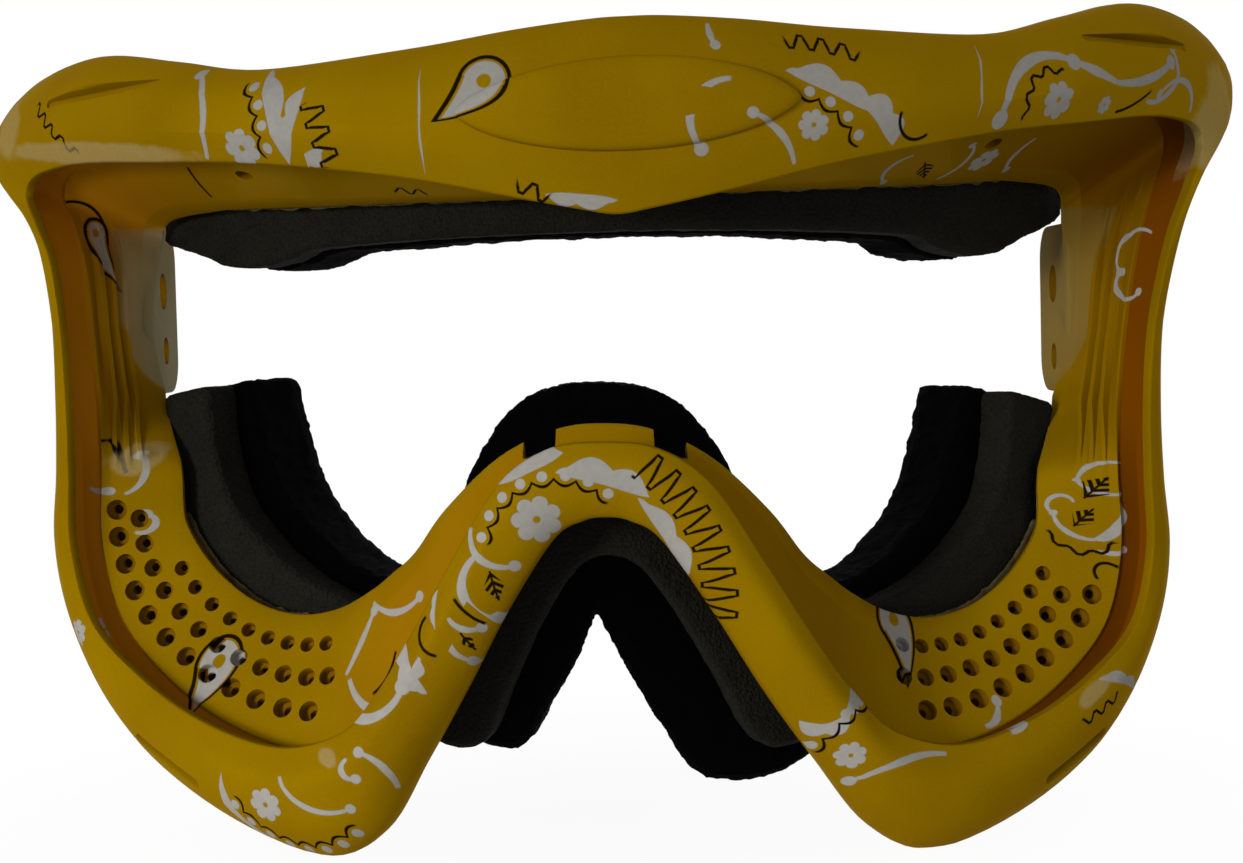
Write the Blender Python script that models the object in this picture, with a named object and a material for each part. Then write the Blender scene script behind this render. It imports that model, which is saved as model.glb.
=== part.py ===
"""Sports protective goggles: a one-piece moulded frame with a lens groove, and two glued foam face pads.

Lengths are in millimetres until a vertex is made. X runs to the right as seen from the front, Y runs back towards
the face and Z up. The frame is laid out flat, as its lens is before bending: s runs along the lens from its middle,
z is the height over the eye line and n the height over the middle of the lens. layout() bends that into place.
"""

from math import cos, pi, sin

import bmesh
import bpy
import numpy as np
from mathutils import Matrix, Vector

MM = 0.001
LENS_RADIUS = 108.0
EYE_LINE_HEIGHT = 71.8
LENS_FRONT_TO_ORIGIN = 33.4

# Wall sections of the frame
GROOVE_WIDTH = 3.2
LIP_THICKNESS = 1.4
LEDGE_THICKNESS = 2.0
WALL_THICKNESS = 2.2
RIM_EDGE_THICKNESS = 3.2
GROOVE_REAR_DEPTH = 1.5
WALL_STEP = 1.5
POCKET_RISE = 5.0
RIB_HEIGHT = 0.8

# Foam pads and the glue that holds them
CLEARANCE = 0.3
GLUE_THICKNESS = 0.5
GLUE_WIDTH = 2.4
GLUE_OVERLAP = 0.4
FOAM_THICKNESS = 6.0
FLEECE_THICKNESS = 12.0
FOAM_EDGE = 1.2
FLEECE_EDGE = 3.0
FLEECE_CROWN = 1.5

# Holes and slots
VENT_COLUMNS = 12
VENT_DIAMETERS = (2.7, 2.4, 2.0)
VENT_FIRST_COLUMNS = (0, 0, 3)
VENT_ROWS = (0.3, 0.53, 0.76)
VENT_DEPTH = 5.5
BROW_VENT_DIAMETER = 2.4
TAB_OUTSET = 1.16
TAB_THICKNESS = 2.2
TAB_FRONT_LAP = 1.94
TAB_LENGTH = 22.0
TAB_TOP = 13.0
TAB_BOTTOM = -11.0
TAB_CORNER = 4.0
TAB_HOLES = ((11.0, 5.4, 5.6), (11.4, -4.9, 4.0))
SLOT_DEPTH = 1.6
SLOT_HEIGHT = 1.8
VISOR_SLOT_LENGTH = 22.0
VISOR_SLOT_TURN = 10.0
SKIRT_SLOT_LENGTH = 13.0
NOSE_NOTCH_WIDTH = 4.4
NOSE_NOTCH_DEPTH = 3.2
BOSS_LENGTH = 42.0
BOSS_HEIGHT = 12.0
BOSS_RISE = 1.2
BOSS_ROOT = 3.0
BOSS_STEP = 0.4
BOSS_SLOPE = 1.2
BOSS_CENTRE_Z = 27.5

# Stations round the right half, from the middle of the brow to the middle of the nose.
# Each has the lip's edge (s, z), the frame's outer edge (s, z) and the inner ledge's edge (s, z, n).
STATIONS = {
    "brow_centre": ((0.0, 13.8), (0.0, 39.4), (0.0, 17.0, -17.0)),
    "brow_tip": ((4.0, 14.4), (5.0, 39.3), (5.0, 17.0, -17.0)),
    "brow_inner": ((14.0, 16.5), (15.0, 38.5), (16.0, 17.0, -17.0)),
    "brow_quarter": ((29.0, 19.8), (29.5, 37.0), (32.0, 17.2, -17.0)),
    "brow_dip": ((50.0, 23.0), (51.0, 36.2), (54.0, 17.6, -17.0)),
    "brow_rise": ((66.0, 24.4), (67.0, 39.0), (73.0, 18.2, -18.0)),
    "brow_hump": ((78.0, 25.4), (81.0, 41.3), (87.0, 18.6, -18.2)),
    "horn_top": ((86.4, 25.4), (97.0, 40.3), (93.0, 18.2, -18.8)),
    "horn_tip": ((92.8, 24.4), (110.8, 36.6), (96.0, 16.8, -19.2)),
    "horn_low": ((94.6, 21.6), (113.2, 30.8), (97.5, 14.4, -19.6)),
    "horn_root": ((91.4, 17.0), (97.4, 20.0), (98.2, 11.0, -20.0)),
    "temple_top": ((87.0, 10.5), (92.8, 12.0), (98.4, 6.5, -20.2)),
    "temple_mid": ((83.6, 0.0), (90.0, 0.0), (98.2, -1.5, -20.0)),
    "temple_low": ((82.4, -12.0), (89.8, -12.0), (92.0, -10.5, -17.0)),
    "cheek_top": ((82.4, -22.0), (90.6, -22.0), (79.5, -20.5, -12.5)),
    "cheek_side": ((82.6, -32.0), (92.2, -33.0), (75.5, -29.0, -12.0)),
    "cheek_corner": ((78.5, -42.0), (87.4, -44.3), (69.0, -35.0, -12.0)),
    "cheek_turn": ((69.0, -48.7), (77.0, -57.5), (60.5, -39.3, -12.0)),
    "cheek_low": ((58.0, -53.8), (62.0, -66.3), (52.0, -40.8, -12.0)),
    "cheek_bottom": ((46.0, -56.4), (44.0, -71.7), (44.5, -39.8, -12.0)),
    "nose_foot": ((36.5, -54.0), (34.0, -67.8), (38.0, -37.0, -11.5)),
    "nose_heel": ((31.0, -48.5), (26.5, -58.0), (33.5, -34.2, -10.5)),
    "nose_leg_low": ((26.0, -41.0), (20.0, -48.5), (29.0, -31.0, -9.0)),
    "nose_leg": ((20.0, -31.0), (13.5, -37.7), (23.5, -25.0, -7.0)),
    "nose_shoulder": ((13.5, -20.8), (7.0, -28.2), (15.0, -17.8, -5.0)),
    "nose_crown": ((7.0, -16.2), (3.0, -25.7), (7.0, -14.0, -4.2)),
    "nose_apex": ((0.0, -15.3), (0.0, -25.2), (0.0, -13.1, -4.0)),
}
NAMES = list(STATIONS)

# How far the lip reaches over the lens, and the front's heights over it, between named stations
LIP_REACH = {"brow_centre": 8.2, "brow_inner": 6.2, "brow_quarter": 4.2, "brow_dip": 3.6, "nose_apex": 3.5}
CREST = {
    "brow_centre": 6.0,
    "brow_hump": 5.5,
    "horn_tip": 4.5,
    "temple_mid": 2.8,
    "cheek_side": 3.0,
    "cheek_bottom": 5.0,
    "nose_apex": 4.8,
}
SHOULDER = {
    "brow_centre": 4.8,
    "brow_hump": 4.2,
    "horn_tip": 2.4,
    "temple_mid": 1.4,
    "cheek_side": 1.4,
    "cheek_bottom": 3.2,
    "nose_leg": 4.0,
    "nose_apex": 4.0,
}
EDGE = {
    "brow_centre": -0.6,
    "brow_hump": -1.2,
    "horn_tip": -3.0,
    "temple_mid": -1.4,
    "cheek_side": -2.0,
    "cheek_bottom": -2.6,
    "nose_leg": 1.2,
    "nose_apex": 1.4,
}
# How much of a pocket for the pad opens behind the ledge, and how far the wall runs back there
POCKET = {
    "brow_centre": 1.0,
    "brow_rise": 1.0,
    "horn_top": 0.0,
    "temple_low": 0.0,
    "cheek_top": 0.6,
    "cheek_side": 1.0,
    "cheek_turn": 1.0,
    "cheek_low": 0.8,
    "cheek_bottom": 0.0,
    "nose_apex": 0.0,
}
WALL_REAR = {
    "brow_centre": -26.0,
    "horn_top": -26.0,
    "cheek_top": -18.0,
    "cheek_side": -24.0,
    "cheek_turn": -22.0,
    "cheek_low": -16.0,
}
# How far forward the pocket runs under the ledge, as a share of the ledge
VAULT = {"horn_top": 0.0, "temple_low": 0.4, "cheek_side": 0.82, "cheek_turn": 0.82, "cheek_bottom": 0.4}
RIBS = {"horn_low": 0.0, "temple_top": 1.0, "temple_low": 1.0, "cheek_top": 0.0}
RIB_PROFILE = ((0.28, 0.0), (0.42, 0.0), (0.5, 1.0), (0.58, 0.0), (0.68, 1.0), (0.78, 0.0), (0.88, 1.0))

# Rows of the lower pad, from its end at the temple to the middle of the nose: the ledge station that it lies behind,
# then the edges (s, z) of the foam (outer, inner) and of the fleece (outer, inner).
CHEEK_PAD = (
    ("cheek_top", (83.4, -10.6), (72.6, -10.2), (83.4, -10.6), (70.2, -9.2)),
    ("cheek_top", (81.0, -19.6), (71.6, -17.8), (82.0, -19.4), (67.2, -16.8)),
    ("cheek_side", (79.0, -29.8), (68.0, -25.4), (79.0, -29.8), (62.0, -25.0)),
    ("cheek_corner", (72.6, -37.0), (61.8, -31.0), (72.6, -37.0), (54.4, -31.0)),
    ("cheek_turn", (63.2, -42.4), (54.0, -35.6), (63.2, -42.4), (46.6, -35.0)),
    ("cheek_low", (53.4, -44.0), (46.0, -38.6), (53.4, -44.2), (39.2, -37.0)),
    ("cheek_bottom", (43.0, -46.4), (38.4, -40.4), (43.4, -47.0), (33.4, -37.6)),
    ("nose_foot", (32.5, -56.4), (32.0, -41.0), (32.6, -58.6), (28.8, -36.0)),
    ("nose_heel", (21.5, -57.6), (27.0, -37.0), (19.0, -60.4), (25.6, -30.4)),
    ("nose_leg_low", (15.0, -48.4), (21.4, -28.6), (12.0, -53.6), (21.8, -21.4)),
    ("nose_leg", (9.4, -39.4), (14.2, -20.8), (7.0, -46.8), (15.4, -13.4)),
    ("nose_shoulder", (4.0, -33.0), (7.0, -16.8), (3.0, -41.6), (7.8, -9.4)),
    ("nose_apex", (0.0, -31.8), (0.0, -15.6), (0.0, -40.0), (0.0, -8.4)),
)
# Rows of the brow pad, from the middle to its end: s, the lower edge of the foam and of the fleece, and their top.
BROW_PAD = (
    (0.0, 12.6, 12.2, 20.6),
    (24.0, 12.4, 12.0, 20.6),
    (42.0, 12.2, 11.4, 20.6),
    (50.0, 11.8, 10.4, 20.6),
    (60.0, 10.8, 8.8, 20.8),
    (70.0, 11.0, 9.0, 21.0),
    (80.0, 12.2, 10.8, 21.0),
    (87.0, 13.4, 12.8, 20.2),
    (91.0, 15.2, 15.0, 18.4),
)
RING_STEPS = 2


def clear_scene():
    """Empties the scene that Blender starts with."""
    for obj in list(bpy.data.objects):
        bpy.data.objects.remove(obj, do_unlink=True)


def layout(s, z, n):
    """The point in metres of a place on the flat layout."""
    turn = s / LENS_RADIUS
    radius = LENS_RADIUS + n
    x = radius * sin(turn)
    y = LENS_RADIUS - radius * cos(turn) - LENS_FRONT_TO_ORIGIN
    return Vector((x, y, z + EYE_LINE_HEIGHT)) * MM


def material(name, colour, roughness, coat=0.0):
    """A Principled material of one colour."""
    made = bpy.data.materials.new(name)
    made.use_nodes = True
    shader = made.node_tree.nodes["Principled BSDF"]
    shader.inputs["Base Color"].default_value = (*colour, 1.0)
    shader.inputs["Roughness"].default_value = roughness
    shader.inputs["Metallic"].default_value = 0.0
    shader.inputs["Coat Weight"].default_value = coat
    return made


def make_object(name, mesh, finish=None):
    """Links a mesh's object to the scene, shaded smooth up to its sharp edges."""
    obj = bpy.data.objects.new(name, mesh)
    bpy.context.scene.collection.objects.link(obj)
    if finish is not None:
        mesh.materials.append(finish)
    mesh.shade_smooth()
    mesh.set_sharp_from_angle(angle=0.7)
    return obj


def make_cutter(name, mesh):
    """A helper for a Boolean, which doesn't render."""
    obj = make_object(name, mesh)
    obj.hide_render = True
    obj.display_type = "WIRE"
    return obj


def finish_mesh(bm, name):
    """Turns a bmesh's faces outwards and makes it a mesh."""
    bmesh.ops.recalc_face_normals(bm, faces=bm.faces)
    mesh = bpy.data.meshes.new(name)
    bm.to_mesh(mesh)
    bm.free()
    return mesh


def add_ring(bm, points):
    """A closed loop of edges through the points."""
    verts = [bm.verts.new(point) for point in points]
    return [bm.edges.new((verts[i - 1], verts[i])) for i in range(len(verts))]


def loft(bm, rings, closed):
    """Skins a list of equal rings, joined end to end or capped."""
    loops = [add_ring(bm, points) for points in rings]
    pairs = list(zip(loops, loops[1:]))
    if closed:
        pairs.append((loops[-1], loops[0]))
    for first, second in pairs:
        bmesh.ops.bridge_loops(bm, edges=first + second)
    if not closed:
        for loop in (loops[0], loops[-1]):
            bmesh.ops.contextual_create(bm, geom=loop)


def profile_at(profile, station):
    """The value of a named profile at a station counted from the brow's middle."""
    places = [NAMES.index(name) for name in profile]
    return float(np.interp(station, places, list(profile.values())))


def curve_at(points, place):
    """A smooth curve through an open list of points, at a place counted in points."""
    last = len(points) - 1
    start = min(int(place), last - 1)
    part = place - start
    p1, p2 = points[start], points[start + 1]
    p0 = points[start - 1] if start > 0 else 2 * p1 - p2
    p3 = points[start + 2] if start + 2 <= last else 2 * p2 - p1
    return 0.5 * (
        2 * p1
        + (p2 - p0) * part
        + (2 * p0 - 5 * p1 + 4 * p2 - p3) * part**2
        + (3 * p1 - p0 - 3 * p2 + p3) * part**3
    )


def mirrored(rows, signs):
    """Rows that run out from the middle, with the other half put before them."""
    rows = np.array(rows, float)
    return np.concatenate([(rows * signs)[:0:-1], rows])


OUTLINE_SIGNS = np.array([-1, 1, -1, 1, -1, 1, 1])
OUTLINE = np.array([[*lip, *edge, *ledge] for lip, edge, ledge in STATIONS.values()])
HALF = len(NAMES) - 1


class Section:
    """The places of one cross-section of the frame, at a station of either half."""

    def __init__(self, station):
        place = abs(station)
        side = -1 if station < 0 else 1
        before = (OUTLINE * OUTLINE_SIGNS)[1:3][::-1]
        after = (OUTLINE * OUTLINE_SIGNS)[-3:-1][::-1]
        row = curve_at(np.concatenate([before, OUTLINE, after]), place + 2)
        row = row * OUTLINE_SIGNS if side < 0 else row
        self.place = place
        self.lip, self.rim, self.ledge, self.ledge_n = row[0:2], row[2:4], row[4:6], row[6]
        out = self.rim - self.lip
        self.out = out / np.linalg.norm(out)
        self.groove = self.lip + self.out * profile_at(LIP_REACH, place)
        self.step = self.groove - self.out * GROOVE_REAR_DEPTH

    def ledge_point(self, share):
        """A place on the ledge's front, from the groove (0) to its free edge (1), as (s, z) and n."""
        flat = self.step + (self.ledge - self.step) * share
        return flat, -GROOVE_WIDTH / 2 + (self.ledge_n + GROOVE_WIDTH / 2) * share

    def ledge_back(self):
        """The direction off the ledge's back, as parts along the outward line and along n."""
        along = np.array([np.dot(self.ledge - self.step, self.out), self.ledge_n + GROOVE_WIDTH / 2])
        along = along / np.linalg.norm(along)
        return np.array([-along[1], along[0]])

    def front(self):
        """The front of the rim, from the lip's back over the crest to the rim's back edge."""
        crest, shoulder = profile_at(CREST, self.place), profile_at(SHOULDER, self.place)
        edge = profile_at(EDGE, self.place)
        band = self.rim - self.lip
        return [
            (self.lip, GROOVE_WIDTH / 2),
            (self.lip, GROOVE_WIDTH / 2 + LIP_THICKNESS),
            (self.lip + band * 0.3, crest),
            (self.lip + band * 0.7, shoulder),
            (self.lip + band * 0.92, 0.45 * shoulder + 0.55 * edge),
            (self.rim, edge),
            (self.rim, edge - RIM_EDGE_THICKNESS),
        ]

    def rear(self):
        """The back of the wall, the pocket for the pad and the ledge's free edge."""
        pocket = profile_at(POCKET, self.place)
        off, back = self.ledge_back()
        tip = (self.ledge + self.out * off * LEDGE_THICKNESS, self.ledge_n + back * LEDGE_THICKNESS)
        deep = profile_at(WALL_REAR, self.place)
        inner = tip[0] + self.out * POCKET_RISE
        vault = profile_at(VAULT, self.place)
        open_n = tip[1] + vault * (-GROOVE_WIDTH / 2 - self.ledge_n)
        open_flat = tip[0] + vault * (self.step - self.ledge)
        roof = 0.0 if vault > 0.0 else 1.0
        full = [
            (inner + self.out * WALL_THICKNESS, deep),
            (inner, deep),
            (open_flat + self.out * POCKET_RISE * roof, open_n),
            tip,
        ]
        flat = [
            (tip[0] + (tip[0] - self.ledge) * share, tip[1] + (tip[1] - self.ledge_n) * share)
            for share in (0.0, -0.25, -0.5, -0.75)
        ]
        rows = [
            ((1 - pocket) * a[0] + pocket * b[0], (1 - pocket) * a[1] + pocket * b[1])
            for a, b in zip(flat, full)
        ]
        return [
            (self.groove + self.out * WALL_STEP, -GROOVE_WIDTH / 2 - WALL_STEP),
            *rows,
            (self.ledge, self.ledge_n),
        ]

    def inside(self):
        """The ledge's front with the temple's ribs, then the groove."""
        off, back = self.ledge_back()
        raised = RIB_HEIGHT * profile_at(RIBS, self.place)
        points = []
        for share, rib in RIB_PROFILE:
            flat, n = self.ledge_point(1 - share)
            points.append((flat - self.out * off * raised * rib, n - back * raised * rib))
        return [
            *points,
            (self.step, -GROOVE_WIDTH / 2),
            (self.groove, -GROOVE_WIDTH / 2),
            (self.groove, GROOVE_WIDTH / 2),
        ]

    def ring(self):
        """The whole section as points in metres."""
        return [layout(*flat, n) for flat, n in self.front() + self.rear() + self.inside()]

    def pad_front(self):
        """The height of a pad's front behind this section's ledge."""
        back = self.ledge_back()[1]
        return self.ledge_n + back * LEDGE_THICKNESS - 2 * CLEARANCE - GLUE_THICKNESS


def frame_mesh():
    """The frame's ring-shaped body, lofted through its stations."""
    bm = bmesh.new()
    count = HALF * RING_STEPS
    stations = [k / RING_STEPS for k in range(count + 1)]
    stations += [-k / RING_STEPS for k in range(count - 1, 0, -1)]
    loft(bm, [Section(station).ring() for station in stations], closed=True)
    return finish_mesh(bm, "goggle_frame")


def cylinder(bm, centre, axis, diameter, length, sides):
    """A closed round bar with its middle at centre."""
    turn = Vector((0, 0, 1)).rotation_difference(axis).to_matrix().to_4x4()
    bmesh.ops.create_cone(
        bm,
        cap_ends=True,
        segments=sides,
        radius1=diameter / 2 * MM,
        radius2=diameter / 2 * MM,
        depth=length * MM,
        matrix=Matrix.Translation(centre) @ turn,
    )


def vent_mesh():
    """Cutters for the rows of holes in both cheek ledges and the two brow vents."""
    bm = bmesh.new()
    first, last = NAMES.index("cheek_side") - 0.4, NAMES.index("cheek_bottom") + 0.2
    for side in (1, -1):
        for row, (share, diameter) in enumerate(zip(VENT_ROWS, VENT_DIAMETERS)):
            for column in range(VENT_FIRST_COLUMNS[row], VENT_COLUMNS):
                step = (column + 0.5 * (row % 2)) / (VENT_COLUMNS - 0.5)
                add_vent(bm, side * (first + (last - first) * step), share, diameter)
        add_vent(bm, side * (NAMES.index("brow_dip") + 0.4), 0.42, BROW_VENT_DIAMETER)
    return finish_mesh(bm, "vents")


def add_vent(bm, station, share, diameter):
    """One hole square to the ledge at a station."""
    section = Section(station)
    flat, n = section.ledge_point(share)
    off, back = section.ledge_back()
    front = layout(*flat, n)
    axis = (layout(*(flat + section.out * off), n + back) - front).normalized()
    cylinder(bm, front + axis * VENT_DEPTH * 0.3 * MM, axis, diameter, VENT_DEPTH, 8)


def rounded_plate(bm, corners, thickness, radius, segments):
    """A plate whose face has these corners, rounded, with its thickness along the face's normal."""
    face = bm.faces.new([bm.verts.new(corner) for corner in corners])
    if radius:
        bmesh.ops.bevel(
            bm,
            geom=face.verts[:],
            offset=radius * MM,
            offset_type="OFFSET",
            affect="VERTICES",
            segments=segments,
            profile=0.5,
            material=-1,
        )
        face = max(bm.faces, key=lambda f: f.calc_area())
    made = bmesh.ops.extrude_face_region(bm, geom=[face])
    verts = [v for v in made["geom"] if isinstance(v, bmesh.types.BMVert)]
    bmesh.ops.translate(bm, verts=verts, vec=thickness * MM)


def tab_point(side, out, back, z):
    """The point in metres of a place on a strap tab, counted from the middle of its front edge."""
    s, _, n = STATIONS["temple_mid"][2]
    wall = layout(s, z, n)
    return Vector((side * (wall.x + (TAB_OUTSET + out) * MM), wall.y + (back - TAB_FRONT_LAP) * MM, wall.z))


def tab_mesh(side):
    """A strap tab: a flat plate that runs back from the temple wall."""
    bm = bmesh.new()
    edges = ((0.0, TAB_BOTTOM), (TAB_LENGTH, TAB_BOTTOM), (TAB_LENGTH, TAB_TOP), (0.0, TAB_TOP))
    corners = [tab_point(side, -TAB_THICKNESS / 2, back, z) for back, z in edges]
    rounded_plate(bm, corners, Vector((side * TAB_THICKNESS, 0, 0)), TAB_CORNER, 3)
    return finish_mesh(bm, "tab")


def tab_hole_mesh():
    """Cutters for the two holes in each strap tab."""
    bm = bmesh.new()
    for side in (1, -1):
        for back, z, diameter in TAB_HOLES:
            cylinder(bm, tab_point(side, 0.0, back, z), Vector((1, 0, 0)), diameter, 3 * TAB_THICKNESS, 14)
    return finish_mesh(bm, "tab_holes")


def slot_box(bm, middle, along, up, out, size):
    """A closed box cutter with its middle and directions given."""
    length, height, depth = size
    turn = Matrix((along, up, out)).transposed().to_4x4()
    scale = Matrix.Diagonal((length * MM, height * MM, depth * MM, 1))
    bmesh.ops.create_cube(bm, size=1, matrix=Matrix.Translation(middle) @ turn @ scale)


def rim_place(station, share):
    """A point on the rim's front band with the directions along it, across it and out of it."""
    here, there = (Section(station + step) for step in (-0.2, 0.2))
    middle = Section(station)
    crest, shoulder = profile_at(CREST, middle.place), profile_at(SHOULDER, middle.place)
    n = float(np.interp(share, (0.3, 0.7), (crest, shoulder)))
    point = layout(*(middle.lip + (middle.rim - middle.lip) * share), n)
    ends = [layout(*(s.lip + (s.rim - s.lip) * share), n) for s in (here, there)]
    across = layout(*(middle.lip + (middle.rim - middle.lip) * (share + 0.05)), n) - point
    along = (ends[1] - ends[0]).normalized()
    out = along.cross(across).normalized()
    if out.y > 0:
        out = -out
    return point, along, out.cross(along).normalized(), out


def slot_mesh():
    """Cutters for the two visor slots on the bar's ends and the two skirt slots under the cheeks."""
    bm = bmesh.new()
    visor, skirt = NAMES.index("brow_rise") + 0.65, NAMES.index("cheek_turn") + 0.7
    for side in (1, -1):
        for station, turn, length in ((visor, VISOR_SLOT_TURN, VISOR_SLOT_LENGTH), (skirt, 0.0, SKIRT_SLOT_LENGTH)):
            point, along, up, out = rim_place(side * station, 0.66)
            turned = Matrix.Rotation(-side * turn * pi / 180, 3, out)
            slot_box(bm, point, turned @ along, turned @ up, out, (length, SLOT_HEIGHT, 2 * SLOT_DEPTH))
    return finish_mesh(bm, "slots")


def nose_notch_mesh():
    """Cutters for the two gaps between the three lens tabs over the nose."""
    bm = bmesh.new()
    for side in (1, -1):
        section = Section(side * (NAMES.index("nose_crown") - 0.25))
        point = layout(*section.ledge, section.ledge_n)
        along = (layout(*(section.ledge + np.array([1.0, 0.0])), section.ledge_n) - point).normalized()
        up = Vector((0, 0, 1))
        size = (NOSE_NOTCH_WIDTH, 2 * NOSE_NOTCH_DEPTH, 4 * LEDGE_THICKNESS)
        slot_box(bm, point, along, up, along.cross(up), size)
    return finish_mesh(bm, "nose_notches")


def boss_mesh():
    """The plain raised almond in the middle of the brow bar."""
    bm = bmesh.new()
    crest = CREST["brow_centre"]
    rings = []
    for inset, n in ((0.0, crest - BOSS_ROOT), (0.0, crest + BOSS_STEP), (BOSS_SLOPE, crest + BOSS_RISE)):
        ring = []
        for k in range(24):
            turn = 2 * pi * k / 24
            half = BOSS_LENGTH / 2 - 2 * inset
            rise = (BOSS_HEIGHT / 2 - inset) * sin(turn) * abs(sin(turn)) ** 0.3
            ring.append(layout(half * cos(turn), BOSS_CENTRE_Z + rise, n))
        rings.append(ring)
    loft(bm, rings, closed=False)
    return finish_mesh(bm, "boss")


def add_boolean(obj, operation, cutter):
    """An exact Boolean of an object with a helper."""
    modifier = obj.modifiers.new(f"{operation.lower()} {cutter.name}", "BOOLEAN")
    modifier.operation = operation
    modifier.object = cutter
    modifier.solver = "EXACT"


def make_frame(finish):
    """The frame with its tabs and boss joined on and its holes cut."""
    obj = make_object("goggle_frame", frame_mesh(), finish)
    for side, name in ((1, "right"), (-1, "left")):
        add_boolean(obj, "UNION", make_cutter(f"tab_{name}", tab_mesh(side)))
    add_boolean(obj, "UNION", make_cutter("boss", boss_mesh()))
    for name, mesh in (
        ("vents", vent_mesh()),
        ("tab_holes", tab_hole_mesh()),
        ("slots", slot_mesh()),
        ("nose_notches", nose_notch_mesh()),
    ):
        add_boolean(obj, "DIFFERENCE", make_cutter(name, mesh))
    return obj


def strip_ring(outer, inner, front, back, edge, crown=0.0):
    """A soft-cornered section between two edges, with a crown on its back."""
    across = inner - outer
    share = edge / max(float(np.linalg.norm(across)), 3 * edge)
    places = (
        (share, front),
        (1 - share, front),
        (1.0, front - edge),
        (1.0, back + edge),
        (1 - share, back + 0.2 * crown),
        (0.5, back - crown),
        (share, back + 0.2 * crown),
        (0.0, back + edge),
        (0.0, front - edge),
    )
    return [layout(*(outer + across * along), n) for along, n in places]


def shrink_ring(points, share, shift):
    """A ring drawn in towards its middle and moved, for a soft end."""
    middle = sum(points, Vector()) / len(points)
    return [middle + (point - middle) * share + shift for point in points]


def soft_strip(name, rings, finish):
    """A pad lofted through its rings, with its ends drawn in."""
    bm = bmesh.new()
    ends = []
    for last, before in ((rings[0], rings[1]), (rings[-1], rings[-2])):
        way = sum(last, Vector()) - sum(before, Vector())
        ends.append(shrink_ring(last, 0.8, way.normalized() * FOAM_EDGE * MM))
    loft(bm, [ends[0], *rings, ends[1]], closed=False)
    return make_object(name, finish_mesh(bm, name), finish)


def pad_places(rows):
    """Evenly counted places along a list of rows."""
    return [k / RING_STEPS for k in range((len(rows) - 1) * RING_STEPS + 1)]


def make_cheek_pad(glue, foam, fleece):
    """The lower pad: glue, foam and fleece along both cheeks and over the nose."""
    fronts = [Section(NAMES.index(row[0])).pad_front() for row in CHEEK_PAD]
    values = [[*row[1], *row[2], *row[3], *row[4], front] for row, front in zip(CHEEK_PAD, fronts)]
    rows = mirrored(values[::-1], np.array([-1, 1, -1, 1, -1, 1, -1, 1, 1]))
    glue_rings, foam_rings, fleece_rings = [], [], []
    for place in pad_places(rows):
        row = curve_at(rows, place)
        front = row[8]
        middle = front - FOAM_THICKNESS
        foam_rings.append(strip_ring(row[0:2], row[2:4], front, middle, FOAM_EDGE))
        back = middle - CLEARANCE - FLEECE_THICKNESS
        fleece_rings.append(strip_ring(row[4:6], row[6:8], middle - CLEARANCE, back, FLEECE_EDGE, FLEECE_CROWN))
    soft_strip("cheek_foam", foam_rings, foam)
    soft_strip("cheek_fleece", fleece_rings, fleece)
    first, last = NAMES.index("cheek_side"), NAMES.index("nose_apex")
    stations = [first + k / RING_STEPS for k in range((last - first) * RING_STEPS + 1)]
    for station in stations[:-1] + [-s for s in reversed(stations)]:
        glue_rings.append(glue_ring(Section(station)))
    soft_strip("cheek_glue", glue_rings, glue)


def glue_ring(section):
    """The glue's section behind a ledge's free edge."""
    front = section.pad_front() + CLEARANCE + GLUE_THICKNESS
    edge = GLUE_THICKNESS * 0.3
    off = section.ledge_back()[0]
    outer = section.ledge + section.out * (off * LEDGE_THICKNESS + GLUE_OVERLAP)
    return strip_ring(outer, outer - section.out * GLUE_WIDTH, front, front - GLUE_THICKNESS, edge)


def make_brow_pad(glue, foam, fleece):
    """The brow pad: glue, foam and fleece in one strip under the bar."""
    last = NAMES.index("brow_rise")
    front = min(Section(station).pad_front() for station in range(NAMES.index("horn_top") + 1))
    middle = front - FOAM_THICKNESS
    back = middle - CLEARANCE - FLEECE_THICKNESS
    rows = mirrored(BROW_PAD, np.array([-1, 1, 1, 1]))
    foam_rings, fleece_rings = [], []
    for place in pad_places(rows):
        s, foam_low, fleece_low, top = curve_at(rows, place)
        high = np.array([s, top])
        foam_rings.append(strip_ring(high, np.array([s, foam_low]), front, middle, FOAM_EDGE))
        fleece_rings.append(
            strip_ring(high, np.array([s, fleece_low]), middle - CLEARANCE, back, FLEECE_EDGE, FLEECE_CROWN)
        )
    soft_strip("brow_foam", foam_rings, foam)
    soft_strip("brow_fleece", fleece_rings, fleece)
    stations = [k / RING_STEPS for k in range(-last * RING_STEPS, last * RING_STEPS + 1)]
    soft_strip("brow_glue", [glue_ring(Section(station)) for station in stations], glue)


def main():
    """Builds the frame and both pads."""
    clear_scene()
    lacquer = material("yellow_lacquer", (0.42, 0.26, 0.012), 0.22, coat=0.6)
    glue = material("clear_glue", (0.32, 0.26, 0.16), 0.35)
    foam = material("grey_foam", (0.028, 0.028, 0.027), 0.9)
    fleece = material("black_fleece", (0.008, 0.008, 0.008), 1.0)
    make_frame(lacquer)
    make_brow_pad(glue, foam, fleece)
    make_cheek_pad(glue, foam, fleece)


main()
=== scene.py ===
"""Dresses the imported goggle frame: a lacquered moulding with a paisley print, glue, foam and fleece pads.

Lengths are in millimetres until a vertex is made. The frame is laid out flat, as its lens is before
bending: s runs along the lens from its middle, z is the height over the eye line and n the height over the
middle of the lens.
"""

from __future__ import annotations

import logging
import math
from dataclasses import dataclass, field
from enum import Enum, IntEnum
from functools import partial
from typing import Iterable, Sequence

import bmesh
import bpy
import numpy as np
from mathutils import Matrix, Vector, noise

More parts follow.
